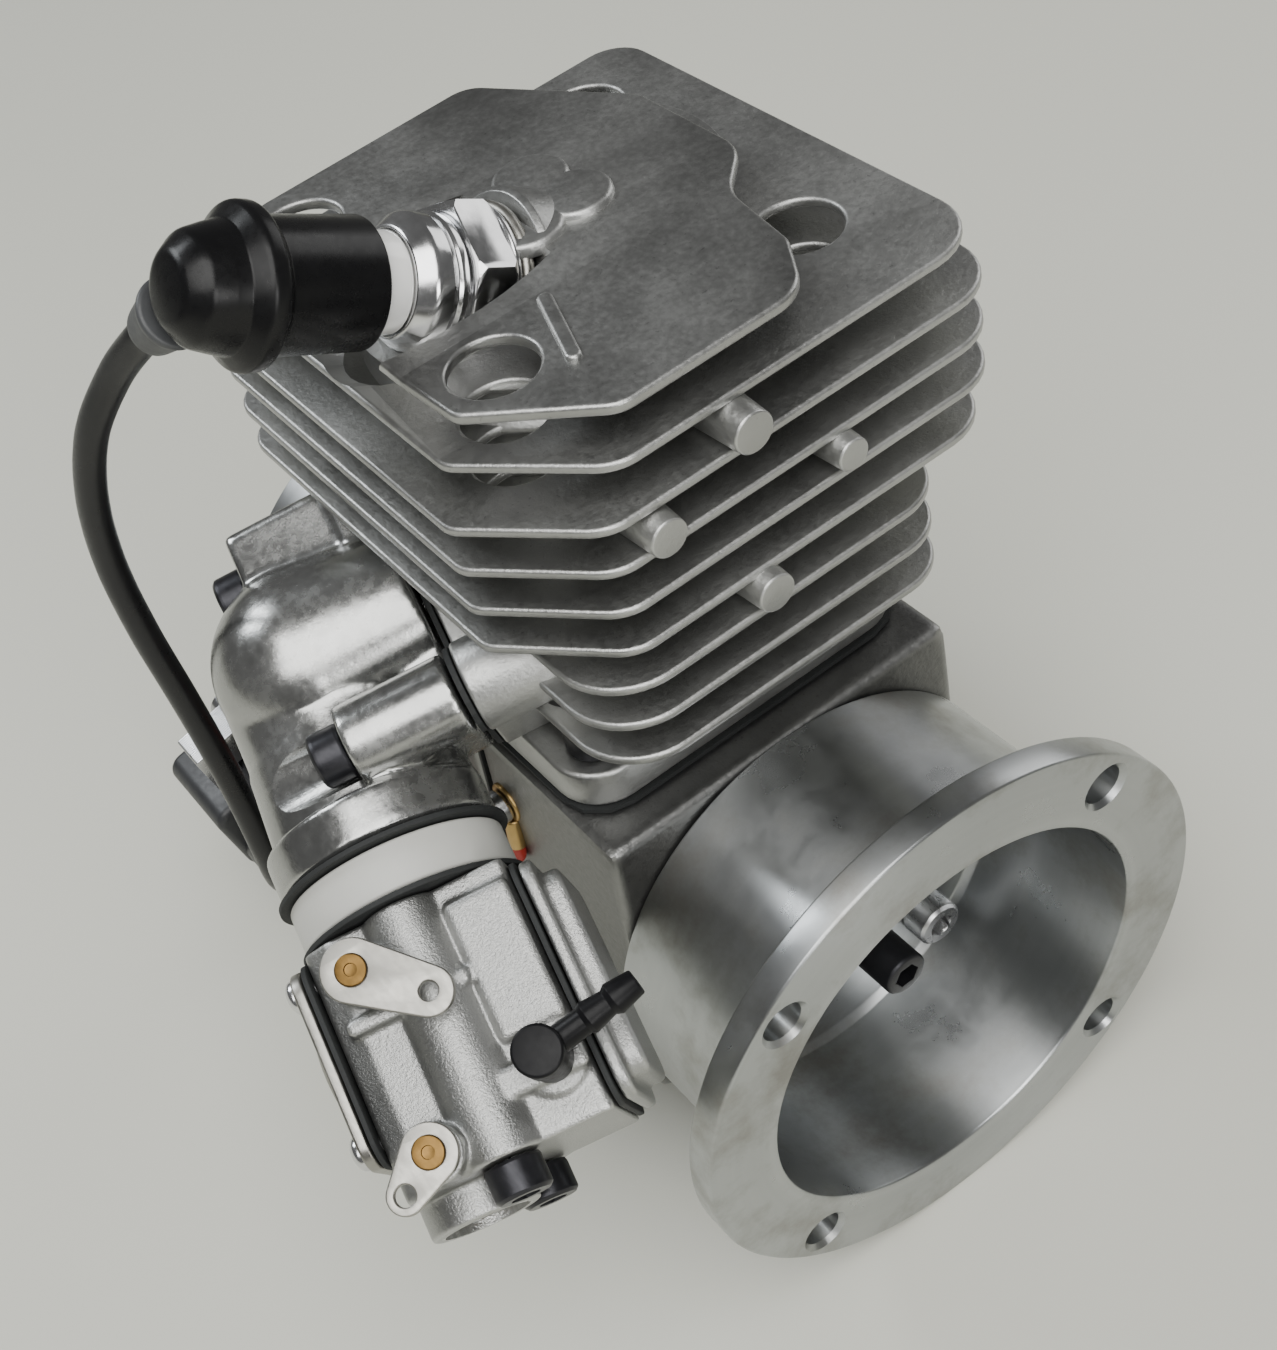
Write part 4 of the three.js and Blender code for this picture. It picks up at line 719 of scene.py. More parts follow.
class ENGINE_OT_cylinder(bpy.types.Operator):
    """Build the cylinder casting with its fins, head, pads and bosses"""

    bl_idname = "engine.cylinder"
    bl_label = "Cylinder"

    def execute(self, context):
        column = turned([
            (0, 107), (23, 107, 1), (19.6, 110.5, 2.5), (19.6, 112.5, 2), (23, 115, 0.2), (0, 115)], 96)
        column = moved(moved(column, at(4, 0, 0)), ENGINE)
        column = carved(column, plug_pocket())
        boss = moved(turned([
            (7.1, -14), (12, -14), (12, -0.8, 0.6), (11.4, 0, 0.3), (7.6, 0, 0.2), (7.1, -0.6, 0.2)], 96), PLUG)
        base = moved(plate(
            box_outline(31, 31, 8), BASE_TOP - 7, BASE_TOP, 0.8,
            [*(circle(x, y, BOLT_HOLE) for x, y in BOLT_CORNERS), circle(0, 0, BORE_RADIUS, 96)]), ENGINE)
        pads = [
            moved(turned([(0, 0), (5.6, 0, 0.1), (5.3, 1.9, 0.7), (0, 2)], 64), ENGINE @ at(x, y, CAP_PLATE))
            for x, y in ((2.5, 5), (4, -3), (-4.5, -3.5))
        ]
        stubs = [
            moved(turned([(0, 0), (r + 0.5, 0, 0.1), (r, 9.6, 0.35), (0, 9.6)], 40),
                  ENGINE @ at(x, -37.5, z) @ turn(90, "X"))
            for x, z, r in ((-3.3, 104.4, 3), (-17.8, 97.1, 2.8), (11.2, 91.2, 2.4), (-3.5, 77.1, 2.9))
        ]
        port = box_outline(13, 5.5, 2.5)
        screw_holes = [circle(side * 18, 0, 2.1) for side in (-1, 1)]
        outwards = turn(90, "Z") @ turn(90, "X")
        pad = plate(box_outline(22, 10.5, 3), 0, 14, 0.7, [port, *screw_holes])
        exhaust = moved(pad, ENGINE @ at(22, 0, 60) @ outwards)
        tool = moved(plate(port, 0, 30, 0.05), ENGINE @ at(18, 0, 60) @ outwards)
        intake_hole = moved(rod(8, (-30, 0, 0), (2, 0, 0)), INTAKE)
        barrel = carved(moved(barrel_mesh(), ENGINE), tool, intake_hole)
        lobe_y, lobe_z = ELBOW_FRONT[1:]
        lobe = carved(rod(6.9, (-20, lobe_y, lobe_z), (-1.4, lobe_y, lobe_z), 0.6),
                      rod(BOLT_HOLE, (-10, lobe_y, lobe_z), (0, lobe_y, lobe_z)))
        bore = moved(rod(BORE_RADIUS, (0, 0, 30), (0, 0, 112), 0.05, 96), ENGINE)
        intake_pad = [carved(moved(mesh, INTAKE), bore) for mesh in (intake_plate(-13, -1.4, 0.6), lobe)]
        rib = moved(plate(lever_outline((-11.9, -18.5), 1.1, (-16.2, -30.4), 1.1), CAP_PLATE, CAP_PLATE + 1.6, 0.5),
                    ENGINE)
        fins = fin_plates(to_mm(context.scene.engine_sizes.fin_thickness))
        whole = joined(*fins, barrel, base, *stubs, exhaust, *intake_pad)
        piece("cylinder_casting", whole, Matrix(), "cast_alloy", ["cylinder"])
        head = joined(cap_plate_mesh(), column, boss, *pads, rib)
        piece("cylinder_head", head, Matrix(), "head_alloy", ["cylinder"])
        return {"FINISHED"}


# ---- crankcase, mount tube and flywheel ----
def copied(node):
    """A CAD node's mesh as a copy in millimetres, its loose triangles merged."""
    mesh = frame["nodes"][node].data.copy()
    mesh.transform(Matrix.Scale(1 / MM, 4))
    return finished(mesh, 1e-3)


class ENGINE_OT_crankcase(bpy.types.Operator):
    """Give both crankcase halves their cast corners"""

    bl_idname = "engine.crankcase"
    bl_label = "Crankcase"

    def execute(self, context):
        for side in ("front", "rear"):
            swing = rod(ROD_ROOM[0], (0, -ROD_ROOM[1], 0), (0, ROD_ROOM[1], 0), 0.05, 96)
            web_room = rod(27.9, (0, -17, 0), (0, 17, 0), 0.05, 96)
            node = f"crankcase_{side}"
            mesh = carved(cast(copied(node), 0.9, 5), moved(swing, ENGINE), moved(web_room, ENGINE))
            piece(f"{node}_casting", mesh, Matrix(), "case_alloy", [node])
        return {"FINISHED"}


class ENGINE_OT_mount_tube(bpy.types.Operator):
    """Turn the flanged mount tube and cut its mounting and screw holes"""

    bl_idname = "engine.mount_tube"
    bl_label = "Mount tube"

    def execute(self, context):
        face = FLANGE_FACE
        body = turned([
            (35.2, face, 0.5), (48, face, 0.5), (48, face + 5, 0.5), (38.6, face + 5, 0.9), (38, face + 7, 0.4),
            (38, -37.6, 0.5), (11, -37.6, 0.3), (11, -41.6, 0.4), (34.2, -41.6, 0.8), (35.2, -43, 0.8),
        ], 192)
        body = moved(body, ALONG_Y)
        tools = []
        for angle in QUARTERS:
            x, z = MOUNT_CIRCLE * math.cos(angle), MOUNT_CIRCLE * math.sin(angle)
            tools.append(rod(3.4, (x, face - 2, z), (x, face + 8, z)))
            chamfer = turned([(0, -0.5), (4.7, -0.5, 0.02), (3.2, 1, 0.02), (0, 1)], 48, 0.02)
            tools.append(moved(chamfer, at(x, face, z) @ ALONG_Y))
            x, z = SCREW_CIRCLE * math.cos(angle), SCREW_CIRCLE * math.sin(angle)
            tools.append(rod(BOLT_HOLE, (x, -44, z), (x, -34, z)))
        piece("mount_tube_turned", carved(body, *tools), ENGINE, "flange_alloy", ["mount_tube"])
        return {"FINISHED"}


class ENGINE_OT_flywheel(bpy.types.Operator):
    """Turn the flywheel with its rim groove, dished rear and hub"""

    bl_idname = "engine.flywheel"
    bl_label = "Flywheel"

    def execute(self, context):
        rim, start, end = FLYWHEEL_RIM, FLYWHEEL_START, FLYWHEEL_END
        body = turned([
            (6.3, start - 3, 0.4), (13, start - 3, 0.6), (13, start + 4, 0.8), (rim - 9, start + 4, 0.8),
            (rim - 7.5, start, 0.5), (rim - 3.2, start, 0.4), (rim - 2.6, start + 1.4, 0.2),
            (rim - 1, start + 1.4, 0.2), (rim, start + 2.6, 0.4), (rim, end - 1.5, 0.3), (rim - 1.5, end, 0.3),
            (rim - 6, end, 0.5), (rim - 7, end - 14, 1.2), (14, end - 14, 1.2), (12.5, end - 4, 0.5),
            (6.3, end - 4, 0.4),
        ], 192)
        piece("flywheel_turned", moved(body, ALONG_Y), ENGINE, "machined_alloy", ["flywheel"], "crank")
        hexagon = circle(0, 0, 17 / math.sqrt(3), 6)
        nut = plate(hexagon, 0, 6.5, 0.3, [circle(0, 0, 6.3)])
        piece("flywheel_nut_plated", moved(nut, at(0, end - 3.7, 0) @ ALONG_Y), ENGINE, "zinc",
              ["flywheel_nut"], "crank")
        return {"FINISHED"}


# ---- ignition ----
def coil_place():
    """The coil's own axes: X away from the crankshaft, Y across, Z along it."""
    out = Vector((math.cos(COIL_ANGLE), 0, math.sin(COIL_ANGLE)))
    up = Vector((math.sin(COIL_ANGLE), 0, -math.cos(COIL_ANGLE)))
    return ENGINE @ Matrix((
        (out.x, up.x, 0, 0), (0, 0, 1, 0), (out.z, up.z, 0, 0), (0, 0, 0, 1),
    ))


class ENGINE_OT_coil(bpy.types.Operator):
    """Build the ignition coil: a stack of core plates and a potted winding"""

    bl_idname = "engine.coil"
    bl_label = "Ignition coil"

    def execute(self, context):
        place = coil_place()
        low, high = COIL_START, COIL_START + 8
        leg = FLYWHEEL_RIM + 0.8
        core = [
            (leg, 11), (56, 11), (56, -11), (leg, -11), (leg, -18), (62, -18), (62, 18), (leg, 18),
        ]
        core = rounded([(x, y, 0.5) for x, y in core], 3)
        holes = [circle(50, y, 2.3) for y in (-14.5, 14.5)]
        sheets = np.linspace(low, high, 17)
        stack = joined(*[plate(core, a, b - 0.04, 0.06, holes, 1) for a, b in zip(sheets[:-1], sheets[1:])])
        piece("coil_core", stack, place, "steel", ["ignition_coil"])
        potting = plate(box_outline(8, 9, 3.2, 59, 0), low - 6, high + 7, 1.4, steps=5)
        tower = turned([(0, 0), (4.4, 0, 0.6), (4.4, 5.5, 0.3), (4.0, 7, 0.5), (0, 7)], 48)
        tower = moved(tower, at(*COIL_TOWER, low - 5) @ turn(180, "X"))
        piece("coil_potting", joined(potting, tower), place, "epoxy", ["ignition_coil"])
        return {"FINISHED"}


class ENGINE_OT_spark_plug(bpy.types.Operator):
    """Build the spark plug's shell, ring gasket, glazed insulator and rubber cap"""

    bl_idname = "engine.spark_plug"
    bl_label = "Spark plug and cap"

    def execute(self, context):
        shell = turned([
            (5.8, -12), (6.7, -12, 0.5), (6.7, 2.5, 0.1), (9.9, 2.5, 0.3), (10, 3.4, 0.4), (8.2, 4, 0.2),
            (8.2, 9.7, 0.2), (8.9, 10.2, 0.3), (8.9, 11.2, 0.3), (8.6, 11.7, 0.3), (8.9, 12.6, 0.5), (9.1, 15, 1.6),
            (7.3, 17.2, 0.8), (6.9, 17.3, 0.15), (5.8, 16.2, 0.1),
        ], 128)
        corner = to_mm(context.scene.engine_sizes.plug_hexagon) / math.sqrt(3)
        hexagon = plate(circle(0, 0, corner, 6), 3.5, 9.8, 0.12, [circle(0, 0, 8)])
        dome = turned([
            (0, 3.2), (10.1, 3.2), (11.05, 4.6, 0.4), (11.05, 8.7, 0.4), (10.1, 10.1), (0, 10.1)], 96, 0.02)
        hexagon = crossed(hexagon, dome, "INTERSECT")
        piece("plug_shell_plated", joined(shell, hexagon), PLUG, "plated", ["plug_shell"])
        ring = turned([(7.1, 0.3, 0.5), (10.2, 0.3, 0.8), (10.2, 2.2, 0.8), (7.1, 2.2, 0.5)], 96)
        piece("plug_ring", ring, PLUG, "zinc", ["plug_gasket"])
        glaze = turned([
            (0, -11), (2.6, -11, 0.8), (5.5, -2, 1), (5.5, 16.9, 0.3), (6.7, 17.4, 0.3), (6.7, 21, 0.4),
            (5.4, 21.6, 0.3), (5.4, 22.8, 0.4), (4.6, 24.3, 0.4), (4.6, 32, 0.4), (3, 33, 0.3),
            (3, 36, 0.4), (0, 36),
        ], 96)
        piece("plug_ceramic", glaze, PLUG, "ceramic", ["plug_insulator"])
        cap = turned([
            (0, 21.8), (8.6, 21.8, 0.5), (8.75, 36.2, 0.6), (10.5, 37.6, 1.0), (10.6, 39.8, 1.4), (8.4, 41.6, 0.6),
            (8.0, 43.5, 2), (7.2, 46.6, 2.5), (4.6, 49.2, 2), (0, 49.6),
        ], 128, 0.4)
        well = turned([(0, 20), (5.8, 20, 0.02), (5.8, 36.5, 0.02), (0, 36.5)], 64, 0.02)
        piece("plug_cap_rubber", carved(cap, well), PLUG, "rubber", ["plug_cap"])
        return {"FINISHED"}


class ENGINE_OT_lead(bpy.types.Operator):
    """Run the high-tension lead from the cap's sleeve to the coil's tower"""

    bl_idname = "engine.lead"
    bl_label = "Lead and sleeve"

    def execute(self, context):
        root = PLUG @ Vector((0, 0, 44.5))
        way = Vector((-0.34, 0.73, -0.59)).normalized()
        sleeve = turned([
            (0, 7.6), (5.2, 7.6, 0.6), (4.4, 9.4, 0.8), (4.1, 11, 0.5), (3.7, 13.4, 0.4),
            (3.5, 14.2, 0.4), (0, 14.2),
        ], 64)
        piece("lead_sleeve_rubber", sleeve, at(*root) @ facing(way), "grey_rubber", ["lead_sleeve"])
        end = coil_place() @ Vector((*COIL_TOWER, COIL_START - 12.3)) - CRANK_CENTRE
        start = root + way * 14.5 - CRANK_CENTRE
        route = np.array([
            start, root + way * 18.2 - CRANK_CENTRE, (-57.6, 19.6, 113), (-62.4, 26, 102.5), (-65.4, 31, 89.5),
            (-66.6, 34.4, 75), (-66.4, 35.6, 59.5), (-65.4, 35.8, 44), (-64.6, 35.8, 29), (-64.2, 35.6, 14),
            (-64.2, 36, 0), (-63.8, 37.4, -8.5), (-62, 40.4, -14.6), (end[0], end[1] - 3, end[2]), end,
        ])
        lead = swept(route, to_mm(context.scene.engine_sizes.lead_thickness) / 2, 24, 10)
        piece("ht_lead_rubber", lead, ENGINE, "lead_rubber", ["ht_lead"])
        return {"FINISHED"}


# ---- intake ----
def intake_slab(outline, low, high, edge=0.12, holes=()):
    """A flat outline of the intake's X and Z, pushed along its Y."""
    flipped = [np.c_[ring[:, 0], -ring[:, 1]] for ring in (outline, *holes)]
    return moved(plate(flipped[0], low, high, edge, flipped[1:]), turn(-90, "X"))


class ENGINE_OT_elbow(bpy.types.Operator):
    """Cast the intake elbow: flange, lug, boss, domed bend and outlet"""

    bl_idname = "engine.elbow"
    bl_label = "Intake elbow"

    def execute(self, context):
        bend, outwards = ELBOW_BEND, turn(90, "Y") @ turn(180, "Z")
        rise = np.linspace(-math.pi / 2, math.pi / 2, 40)
        dome = moved(spun(np.c_[bend * np.cos(rise), bend * np.sin(rise)], 96), at(20, 0, 0))
        foot = moved(plate(box_outline(9, 23, 5), 0.1, 7, 0.5), outwards)
        lug = rounded([(8, 9.5, 2), (-8.5, 9.5, 2), (-8.5, 22.5, 5), (8, 22.5, 2)])
        lug = moved(plate(lug, 0.2, 23.6, 0.7), outwards)
        boss_y, boss_z = ELBOW_FRONT[1:]
        boss = rod(6.3, (0.2, boss_y, boss_z), (ELBOW_FRONT[0] - 0.3, boss_y, boss_z), 0.5)
        inlet = moved(turned([(0, 0.2), (13.5, 0.2), (bend, 20), (0, 20)], 96), turn(90, "Y"))
        squash = Matrix.Diagonal((1, 1, ELBOW_FLATNESS, 1))
        outlet = moved(rod(bend, (20, 0, 0), (20, 33, 0), 0.5, 96), squash)
        neck = moved(turned([(0, 13), (bend, 13), (16.4, 27.5), (0, 27.5)], 96), squash @ at(20.4, 0, 0) @ ALONG_Y)
        flange = intake_slab(oval(17.3, 16.6, 21), 26.5, 34.0, 0.9)
        skin = cast(joined(foot, lug, boss, dome, inlet, outlet, neck, flange), 0.5, 7)
        tools = [
            cutter_box((-10, 33.95, -30), (60, 45, 30)), cutter_box((-8, -40, -30), (0.05, 60, 30)),
            rod(8, (-2, 0, 0), (26, 0, 0)), rod(7, (26.5, 0, 0), (26.5, 36, 0)),
            rod(4.9, (ELBOW_FRONT[0] - 0.3, boss_y, boss_z), (38, boss_y, boss_z)),
            rod(4.9, (23.6, *ELBOW_REAR[1:]), (40, *ELBOW_REAR[1:])),
            *[rod(BOLT_HOLE, (CARB_BOLT[0], 27, z), (CARB_BOLT[0], 36, z)) for z in (-CARB_BOLT[1], CARB_BOLT[1])],
        ]
        piece("elbow_casting", carved(skin, *tools), INTAKE, "polished_alloy", ["intake_elbow"], crisp=50)
        return {"FINISHED"}


class ENGINE_OT_insulator(bpy.types.Operator):
    """Stack the white insulator block between its two black gaskets"""

    bl_idname = "engine.insulator"
    bl_label = "Insulator and gaskets"

    def execute(self, context):
        holes = [circle(CARB_BOLT[0], side * CARB_BOLT[1], BOLT_HOLE) for side in (-1, 1)]
        stack = [
            ("insulator_gasket_1", 0.9, 34.3, 35.1, 26.5, 8, "gasket_paper", 0.15),
            ("insulator_block", -0.4, 35.4, 42.4, 27.75, 7.2, "insulator", 0.5),
            ("insulator_gasket_2", 0.4, 42.7, 43.5, 29, 6.9, "gasket_paper", 0.15),
        ]
        for node, grow, low, high, port_x, port, finish, edge in stack:
            outline = oval(17.3 + grow, 16.6 + grow, 21)
            mesh = intake_slab(outline, low, high, edge, [circle(port_x, 0, port), *holes])
            piece(f"{node}_sheet", mesh, INTAKE, finish, [node])
        return {"FINISHED"}


def side_plate(low, high, half, start, stop, edge=0.3, radius=4.0, holes=()):
    """A cover outline of the intake's Y and Z, pushed along its X from low to high."""
    middle = (start + stop) / 2
    outline = box_outline((stop - start) / 2, half, radius, middle, 0)
    return moved(plate(outline, low, high, edge, holes), turn(90, "Z") @ turn(90, "X"))


class ENGINE_OT_carburettor(bpy.types.Operator):
    """Cast the carburettor's body and press its covers and gaskets"""

    bl_idname = "engine.carburettor"
    bl_label = "Carburettor"

    def execute(self, context):
        low, high = CARB_LOW, CARB_HIGH
        body = intake_slab(rounded([
            (36.4, 11.2, 1.5), (32.4, 13.2, 1.5), (4.8, 13.2, 1), (4.8, -13.2, 1), (36.4, -13.2, 2),
        ]), low, high, 0.5)
        ridge_x, ridge_z = CARB_BOLT
        ridges = [rod(6.2, (ridge_x, low, z), (ridge_x, high, z), 0.5) for z in (-ridge_z, ridge_z)]
        lip = rod(8.3, (THROAT_X, high - 1, 0), (THROAT_X, high + 5, 0), 0.4, 96)
        bosses = [rod(4.2, (THROAT_X, y, 0), (THROAT_X, y, LEVER_Z - 1.8), 0.4) for y in (THROTTLE_Y, CHOKE_Y)]
        fuel = rod(5, (*FUEL_INLET, 0), (*FUEL_INLET, 14), 0.4)
        ledge = block((5, low + 27, 11), (20, low + 31.5, 15.2), 0.8)
        step = block((5.2, low + 3, 11), (15, low + 24, 14.4), 0.8)
        web = block((15, low + 12, 11), (34, low + 14.5, 15), 0.8)
        skin = cast(joined(body, *ridges, lip, *bosses, fuel, ledge, step, web), 0.38, 4)
        throat = spun([(0, low - 2), (6.5, low - 2), (6.5, low + 15), (5.4, low + 20), (6.5, low + 25),
                       (6.5, high + 8), (0, high + 8)], 96)
        tools = [
            moved(throat, at(THROAT_X, 0, 0) @ ALONG_Y),
            *[rod(2.75, (ridge_x, low - 1, z), (ridge_x, high + 1, z)) for z in (-ridge_z, ridge_z)],
            *[rod(2.6, (THROAT_X, y, -11), (THROAT_X, y, LEVER_Z)) for y in (THROTTLE_Y, CHOKE_Y)],
            rod(2.6, (*FUEL_INLET, 5), (*FUEL_INLET, 18)),
            cutter_box((0, low - 4, -20), (50, low + 0.02, 20)),
        ]
        piece("carburettor_casting", carved(skin, *tools), INTAKE, "carb_alloy", ["carburettor_body"], crisp=50)
        gaskets = [
            ("metering_gasket", 36.7, 37.5, 12.8, low + 0.8, low + 31.9),
            ("pump_gasket", 3.7, 4.5, 13.2, low + 0.8, high - 0.2),
        ]
        for node, *extent in gaskets:
            piece(f"{node}_sheet", side_plate(*extent, 0.15), INTAKE, "gasket_paper", [node])
        dish = moved(turned([
            (0, 0), (10.2, 0, 0.3), (8.4, 1.4, 0.6), (4, 1.6, 0.6), (2.5, 1.0, 0.4), (0, 0.9)], 64),
                     at(39.3, low + 16.3, 0) @ turn(90, "Y"))
        cover = side_plate(37.8, 39.6, 12.4, low + 1.2, low + 31.5, 0.45)
        screws = screw_places(pan_screw(), [
            ((39.6, y, z), (1, 0, 0)) for y in (low + 4.4, low + 28.3) for z in (-8.8, 8.8)])
        piece("metering_cover_pressed", joined(cover, dish), INTAKE, "zinc", ["metering_cover"])
        piece("metering_cover_screws", joined(*screws), INTAKE, "plated")
        pump = joined(
            side_plate(1.4, 3.4, 12.8, low + 1.2, high - 0.6, 0.4),
            side_plate(-1.6, 2, 10.8, low + 3.6, high - 3, 0.9, 3.5))
        piece("pump_cover_cast", cast(pump, 0.4, 4), INTAKE, "carb_alloy", ["pump_cover"])
        return {"FINISHED"}


class ENGINE_OT_levers(bpy.types.Operator):
    """Cut the throttle and choke levers and turn their brass shafts"""

    bl_idname = "engine.levers"
    bl_label = "Throttle and choke"

    def execute(self, context):
        tips = {
            "throttle": ((THROAT_X, THROTTLE_Y), 4.6, (20.4, THROTTLE_Y + 7.2), 3.6, 1.35, 0),
            "choke": ((THROAT_X, CHOKE_Y), 4.1, (THROAT_X + 5.2, CHOKE_Y + 3.8), 2.7, 1.5, 75),
        }
        for name, (pivot, big, tip, small, hole, opened) in tips.items():
            outline = lever_outline(pivot, big, tip, small)
            lever = plate(outline, LEVER_Z, LEVER_Z + 1.2, 0.25, [circle(*tip, hole), circle(*pivot, 1.95)])
            piece(f"{name}_lever_plated", lever, INTAKE, "zinc", [f"{name}_lever"], name)
            top = LEVER_Z + 1.7
            shaft = turned([
                (0, -10.8), (2.4, -10.8, 0.2), (2.4, LEVER_Z - 0.3, 0.15), (1.85, LEVER_Z - 0.3, 0.05),
                (1.85, LEVER_Z + 1.25, 0.05), (2.4, LEVER_Z + 1.3, 0.2), (2.3, top, 0.3), (0, top),
            ], 64)
            slot = block((-4, -0.8, -6.5), (4, 0.8, 6.5), 0.05)
            dimple = moved(turned([(0, 0), (0.9, 0, 0.02), (1.1, 1, 0.02), (0, 1)], 32, 0.02), at(0, 0, top - 0.3))
            mesh = moved(carved(shaft, slot, dimple), at(pivot[0], pivot[1], 0) @ turn(opened, "Z"))
            piece(f"{name}_shaft_turned", mesh, INTAKE, "bronze", [f"{name}_shaft"], name)
        return {"FINISHED"}


class ENGINE_OT_fuel_elbow(bpy.types.Operator):
    """Mould the fuel inlet's stem and its barbed spout"""

    bl_idname = "engine.fuel_elbow"
    bl_label = "Fuel elbow"

    def execute(self, context):
        stem = moved(turned([
            (0, 7), (2.2, 7, 0.2), (2.2, 14.3, 0.1), (3.4, 14.35, 0.3), (3.4, 19.2, 0.3), (3.6, 19.8, 0.3),
            (3.6, 24.4, 0.45), (0, 24.4),
        ], 64), at(*FUEL_INLET, 0))
        spout = turned([
            (0, 0), (2.1, 0, 0.1), (1.95, 7, 0.3), (2.35, 7.7, 0.2), (1.85, 11, 0.3), (2.35, 11.8, 0.2),
            (1.8, 15.7, 0.3), (0.9, 15.7, 0.1), (0.9, 13, 0.1), (0, 13),
        ], 48)
        spout = moved(spout, at(*FUEL_INLET, 21.4) @ facing((-15.4, -3, 0)))
        piece("fuel_elbow_moulded", joined(stem, spout), INTAKE, "black_plastic", ["fuel_elbow"])
        return {"FINISHED"}


class ENGINE_OT_screws(bpy.types.Operator):
    """Set the socket screws, stud and small fasteners"""

    bl_idname = "engine.screws"
    bl_label = "Screws"

    def execute(self, context):
        large, small = cap_screw(), cap_screw(3.4, 2.8, 3.2, 1.6, 6)
        screws = []
        for k, (x, y) in enumerate(((-1, -1), (1, -1), (-1, 1), (1, 1)), 1):
            spot = (x * BOLT_SQUARE, y * BOLT_SQUARE, BASE_TOP + 0.2)
            screws.append((f"base_screw_{k}", large, spot, (0, 0, 1), ENGINE, "black_steel", f"base_bolt_{k}"))
        for k, angle in enumerate(QUARTERS, 1):
            spot = (SCREW_CIRCLE * math.cos(angle), -41.9, SCREW_CIRCLE * math.sin(angle))
            screws.append((f"tube_screw_{k}", large, spot, (0, -1, 0), ENGINE, "steel", f"mount_screw_{k}"))
        for side, spot in (("front", ELBOW_FRONT), ("rear", ELBOW_REAR)):
            node = f"elbow_bolt_{side}"
            screws.append((f"elbow_screw_{side}", large, spot, (1, 0, 0), INTAKE, "black_steel", node))
        for side, z in (("upper", CARB_BOLT[1]), ("lower", -CARB_BOLT[1])):
            spot, node = (CARB_BOLT[0], CARB_HIGH + 0.3, z), f"carb_bolt_{side}"
            screws.append((f"carb_screw_{side}", large, spot, (0, 1, 0), INTAKE, "black_steel", node))
        for k, y in enumerate((14.5, -14.5), 1):
            spot = (50, y, COIL_START + 8.3)
            node = f"coil_screw_{k}"
            screws.append((f"{node}_plated", small, spot, (0, 0, 1), coil_place(), "steel", node))
        for name, template, spot, way, place, finish, node in screws:
            mesh = moved(template.copy(), at(*spot) @ facing(way))
            piece(name, mesh, place, finish, [node])
        sizes, earth = context.scene.engine_sizes, EARTH_SCREW
        mesh = moved(cap_screw(2.9, 3, 2.5, 1.5, 4), at(earth[0] - 1.2, *earth[1:]) @ facing((-1, 0, 0)))
        piece("earth_screw", mesh, ENGINE, "steel")
        ring = moved(turned([(1.7, 0, 0.2), (3.6, 0, 0.3), (3.6, 0.9, 0.3), (1.7, 0.9, 0.2)], 48),
                     at(earth[0] - 0.1, *earth[1:]) @ turn(-90, "Y"))
        barrel = rod(1.5, (earth[0] - 0.9, earth[1] - 0.8, earth[2] - 3),
                     (-34.2, earth[1] - 1.6, earth[2] - 9), 0.4)
        piece("earth_terminal", joined(ring, barrel), ENGINE, "brass")
        wire = swept([
            (-34.1, earth[1] - 1.5, earth[2] - 7.6), (-34.9, earth[1] - 1.2, earth[2] - 11.5), (-36.2, 2, 10.5),
            (-38.5, 13, 13.5), (-41.5, 25, 17.8), (-43.5, 34, 17.6), (-45.5, 41, 10.5), (-46.5, 45, 2.5),
            (-50, 50.5, -5.5), (-53.6, 55, -10),
        ], to_mm(sizes.wire_thickness) / 2, 16, 8)
        piece("earth_wire", wire, ENGINE, "red_sleeve")
        ripple = thread(38, 60.2, to_mm(sizes.thread_pitch))
        stud = turned([(0, 35), (3.9, 35, 0.3), (3.9, 61, 0.6), (0, 61)], 96, ripple=ripple)
        socket = plate(circle(0, 0, 2.31, 6), 57, 62, 0.02)
        stud = moved(carved(stud, socket), turn(90, "X"))
        piece("output_stud_threaded", stud, ENGINE, "black_steel", ["output_stud"], "crank")
        return {"FINISHED"}


class ENGINE_OT_inner_finishes(bpy.types.Operator):
    """Give every carried-over frame part its own finish"""

    bl_idname = "engine.inner_finishes"
    bl_label = "Inner finishes"

    def execute(self, context):
        slots = {part["node"]: part["material_slot"] for part in frame["record"]["subparts"]}
        for name, node in frame["nodes"].items():
            node.data.materials.clear()
            node.data.materials.append(FINISH[slots[name]])
        return {"FINISHED"}


